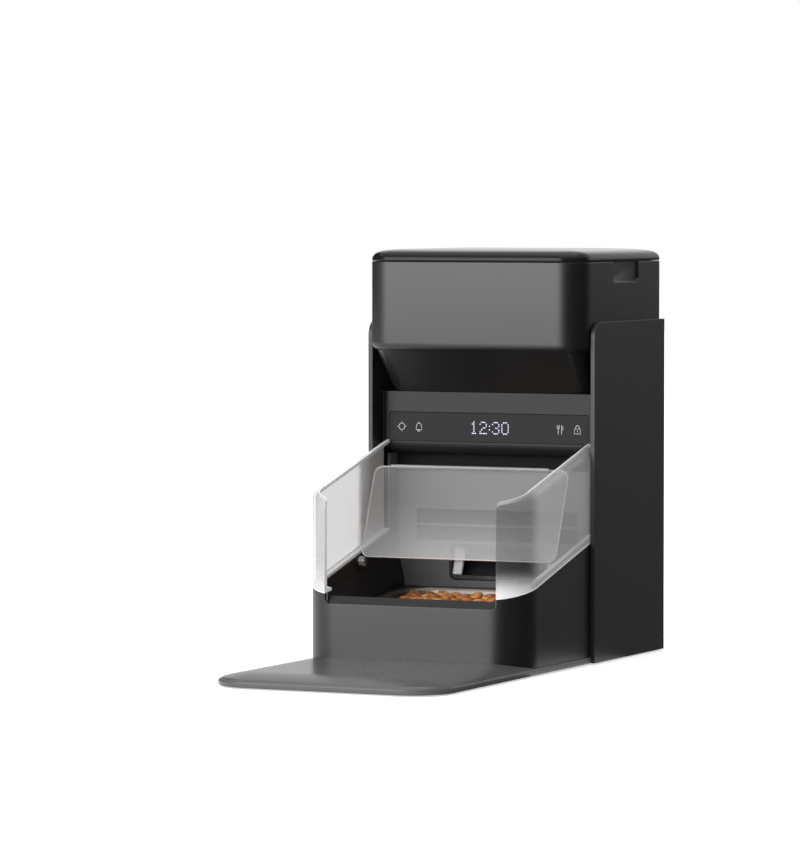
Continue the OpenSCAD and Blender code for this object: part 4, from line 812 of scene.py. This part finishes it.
def buildFloor(s):
    material, tree, place = newMaterial("paperFloor")
    tone = patchyTone(tree, place, s["floor"])[0]
    distance = addNode(tree, "ShaderNodeVectorMath", {0: place}, operation="LENGTH").outputs["Value"]
    fade = span(tree, distance, *s["floorGlow"], *s["glowReach"])
    glow = compute(tree, "MULTIPLY", seenDirectly(tree), fade)
    inputs = {"Specular IOR Level": 0, "Emission Color": tone, "Emission Strength": glow}
    finishMaterial(tree, principled(tree, tone, s["floor"]["rough"], inputs))
    steps, half = s["floorSteps"], s["floorHalf"]
    line = [-half + 2 * half * k / steps for k in range(steps + 1)]
    verts = [(x, y, 0) for x in line for y in line]
    corners = [i * (steps + 1) + j for i in range(steps) for j in range(steps)]
    faces = [(c, c + steps + 1, c + steps + 2, c + 1) for c in corners]
    floor = placeMesh("floor", verts, faces, [material], unit=1)


def buildCard(name, start, end, near, far, colour, s=studio):
    material, tree, place = newMaterial(name + "Felt")
    finishMaterial(tree, addNode(tree, "ShaderNodeEmission", {"Strength": 1, "Color": linear(colour)}))
    steps = s["cardSteps"]
    turns = [math.radians(start + (end - start) * k / steps) for k in range(steps + 1)]
    verts = [(radius * math.sin(a), s["cardCentreY"] - radius * math.cos(a), z)
             for a in turns for radius, z in (near, far)]
    faces = [(2 * k, 2 * k + 2, 2 * k + 3, 2 * k + 1) for k in range(steps)]
    card = placeMesh(name, verts, faces, [material], unit=1)
    card.visible_camera = card.visible_diffuse = card.visible_shadow = card.visible_transmission = False


def buildSoftbox(name, place, target, size, power):
    light = bpy.data.lights.new(name, "AREA")
    light.shape = "RECTANGLE"
    light.size, light.size_y = size
    light.energy = power
    holder = placeObject(name, light)
    holder.location = place
    holder.rotation_euler = (Vector(target) - Vector(place)).to_track_quat("-Z", "Y").to_euler()


def buildWorld(s):
    world = bpy.data.worlds.new("studioAir")
    bpy.context.scene.world = world
    world.use_nodes = True
    air = world.node_tree
    air.nodes.clear()
    level = span(air, seenDirectly(air), s["world"], 1)
    glow = addNode(air, "ShaderNodeBackground", {"Color": (1, 1, 1, 1), "Strength": level})
    addNode(air, "ShaderNodeOutputWorld", {"Surface": glow.outputs[0]})


buildFloor(studio)
for card in cards:
    buildCard(*card)
for softbox in softboxes:
    buildSoftbox(*softbox)
buildWorld(studio)

# the camera was solved from the straight edges of the body in the photo
view = {"place": (1.5433, -3.3312, 0.3524), "turn": (87.3548, 0, 25.3468), "lens": 205.62, "sensor": 36}
cameraData = bpy.data.cameras.new("camera")
cameraData.lens = view["lens"]
cameraData.sensor_width = view["sensor"]
camera = placeObject("camera", cameraData)
camera.location = view["place"]
camera.rotation_euler = [math.radians(a) for a in view["turn"]]
bpy.context.scene.camera = camera
bpy.context.scene.view_settings.view_transform = "Standard"
print("studio done")
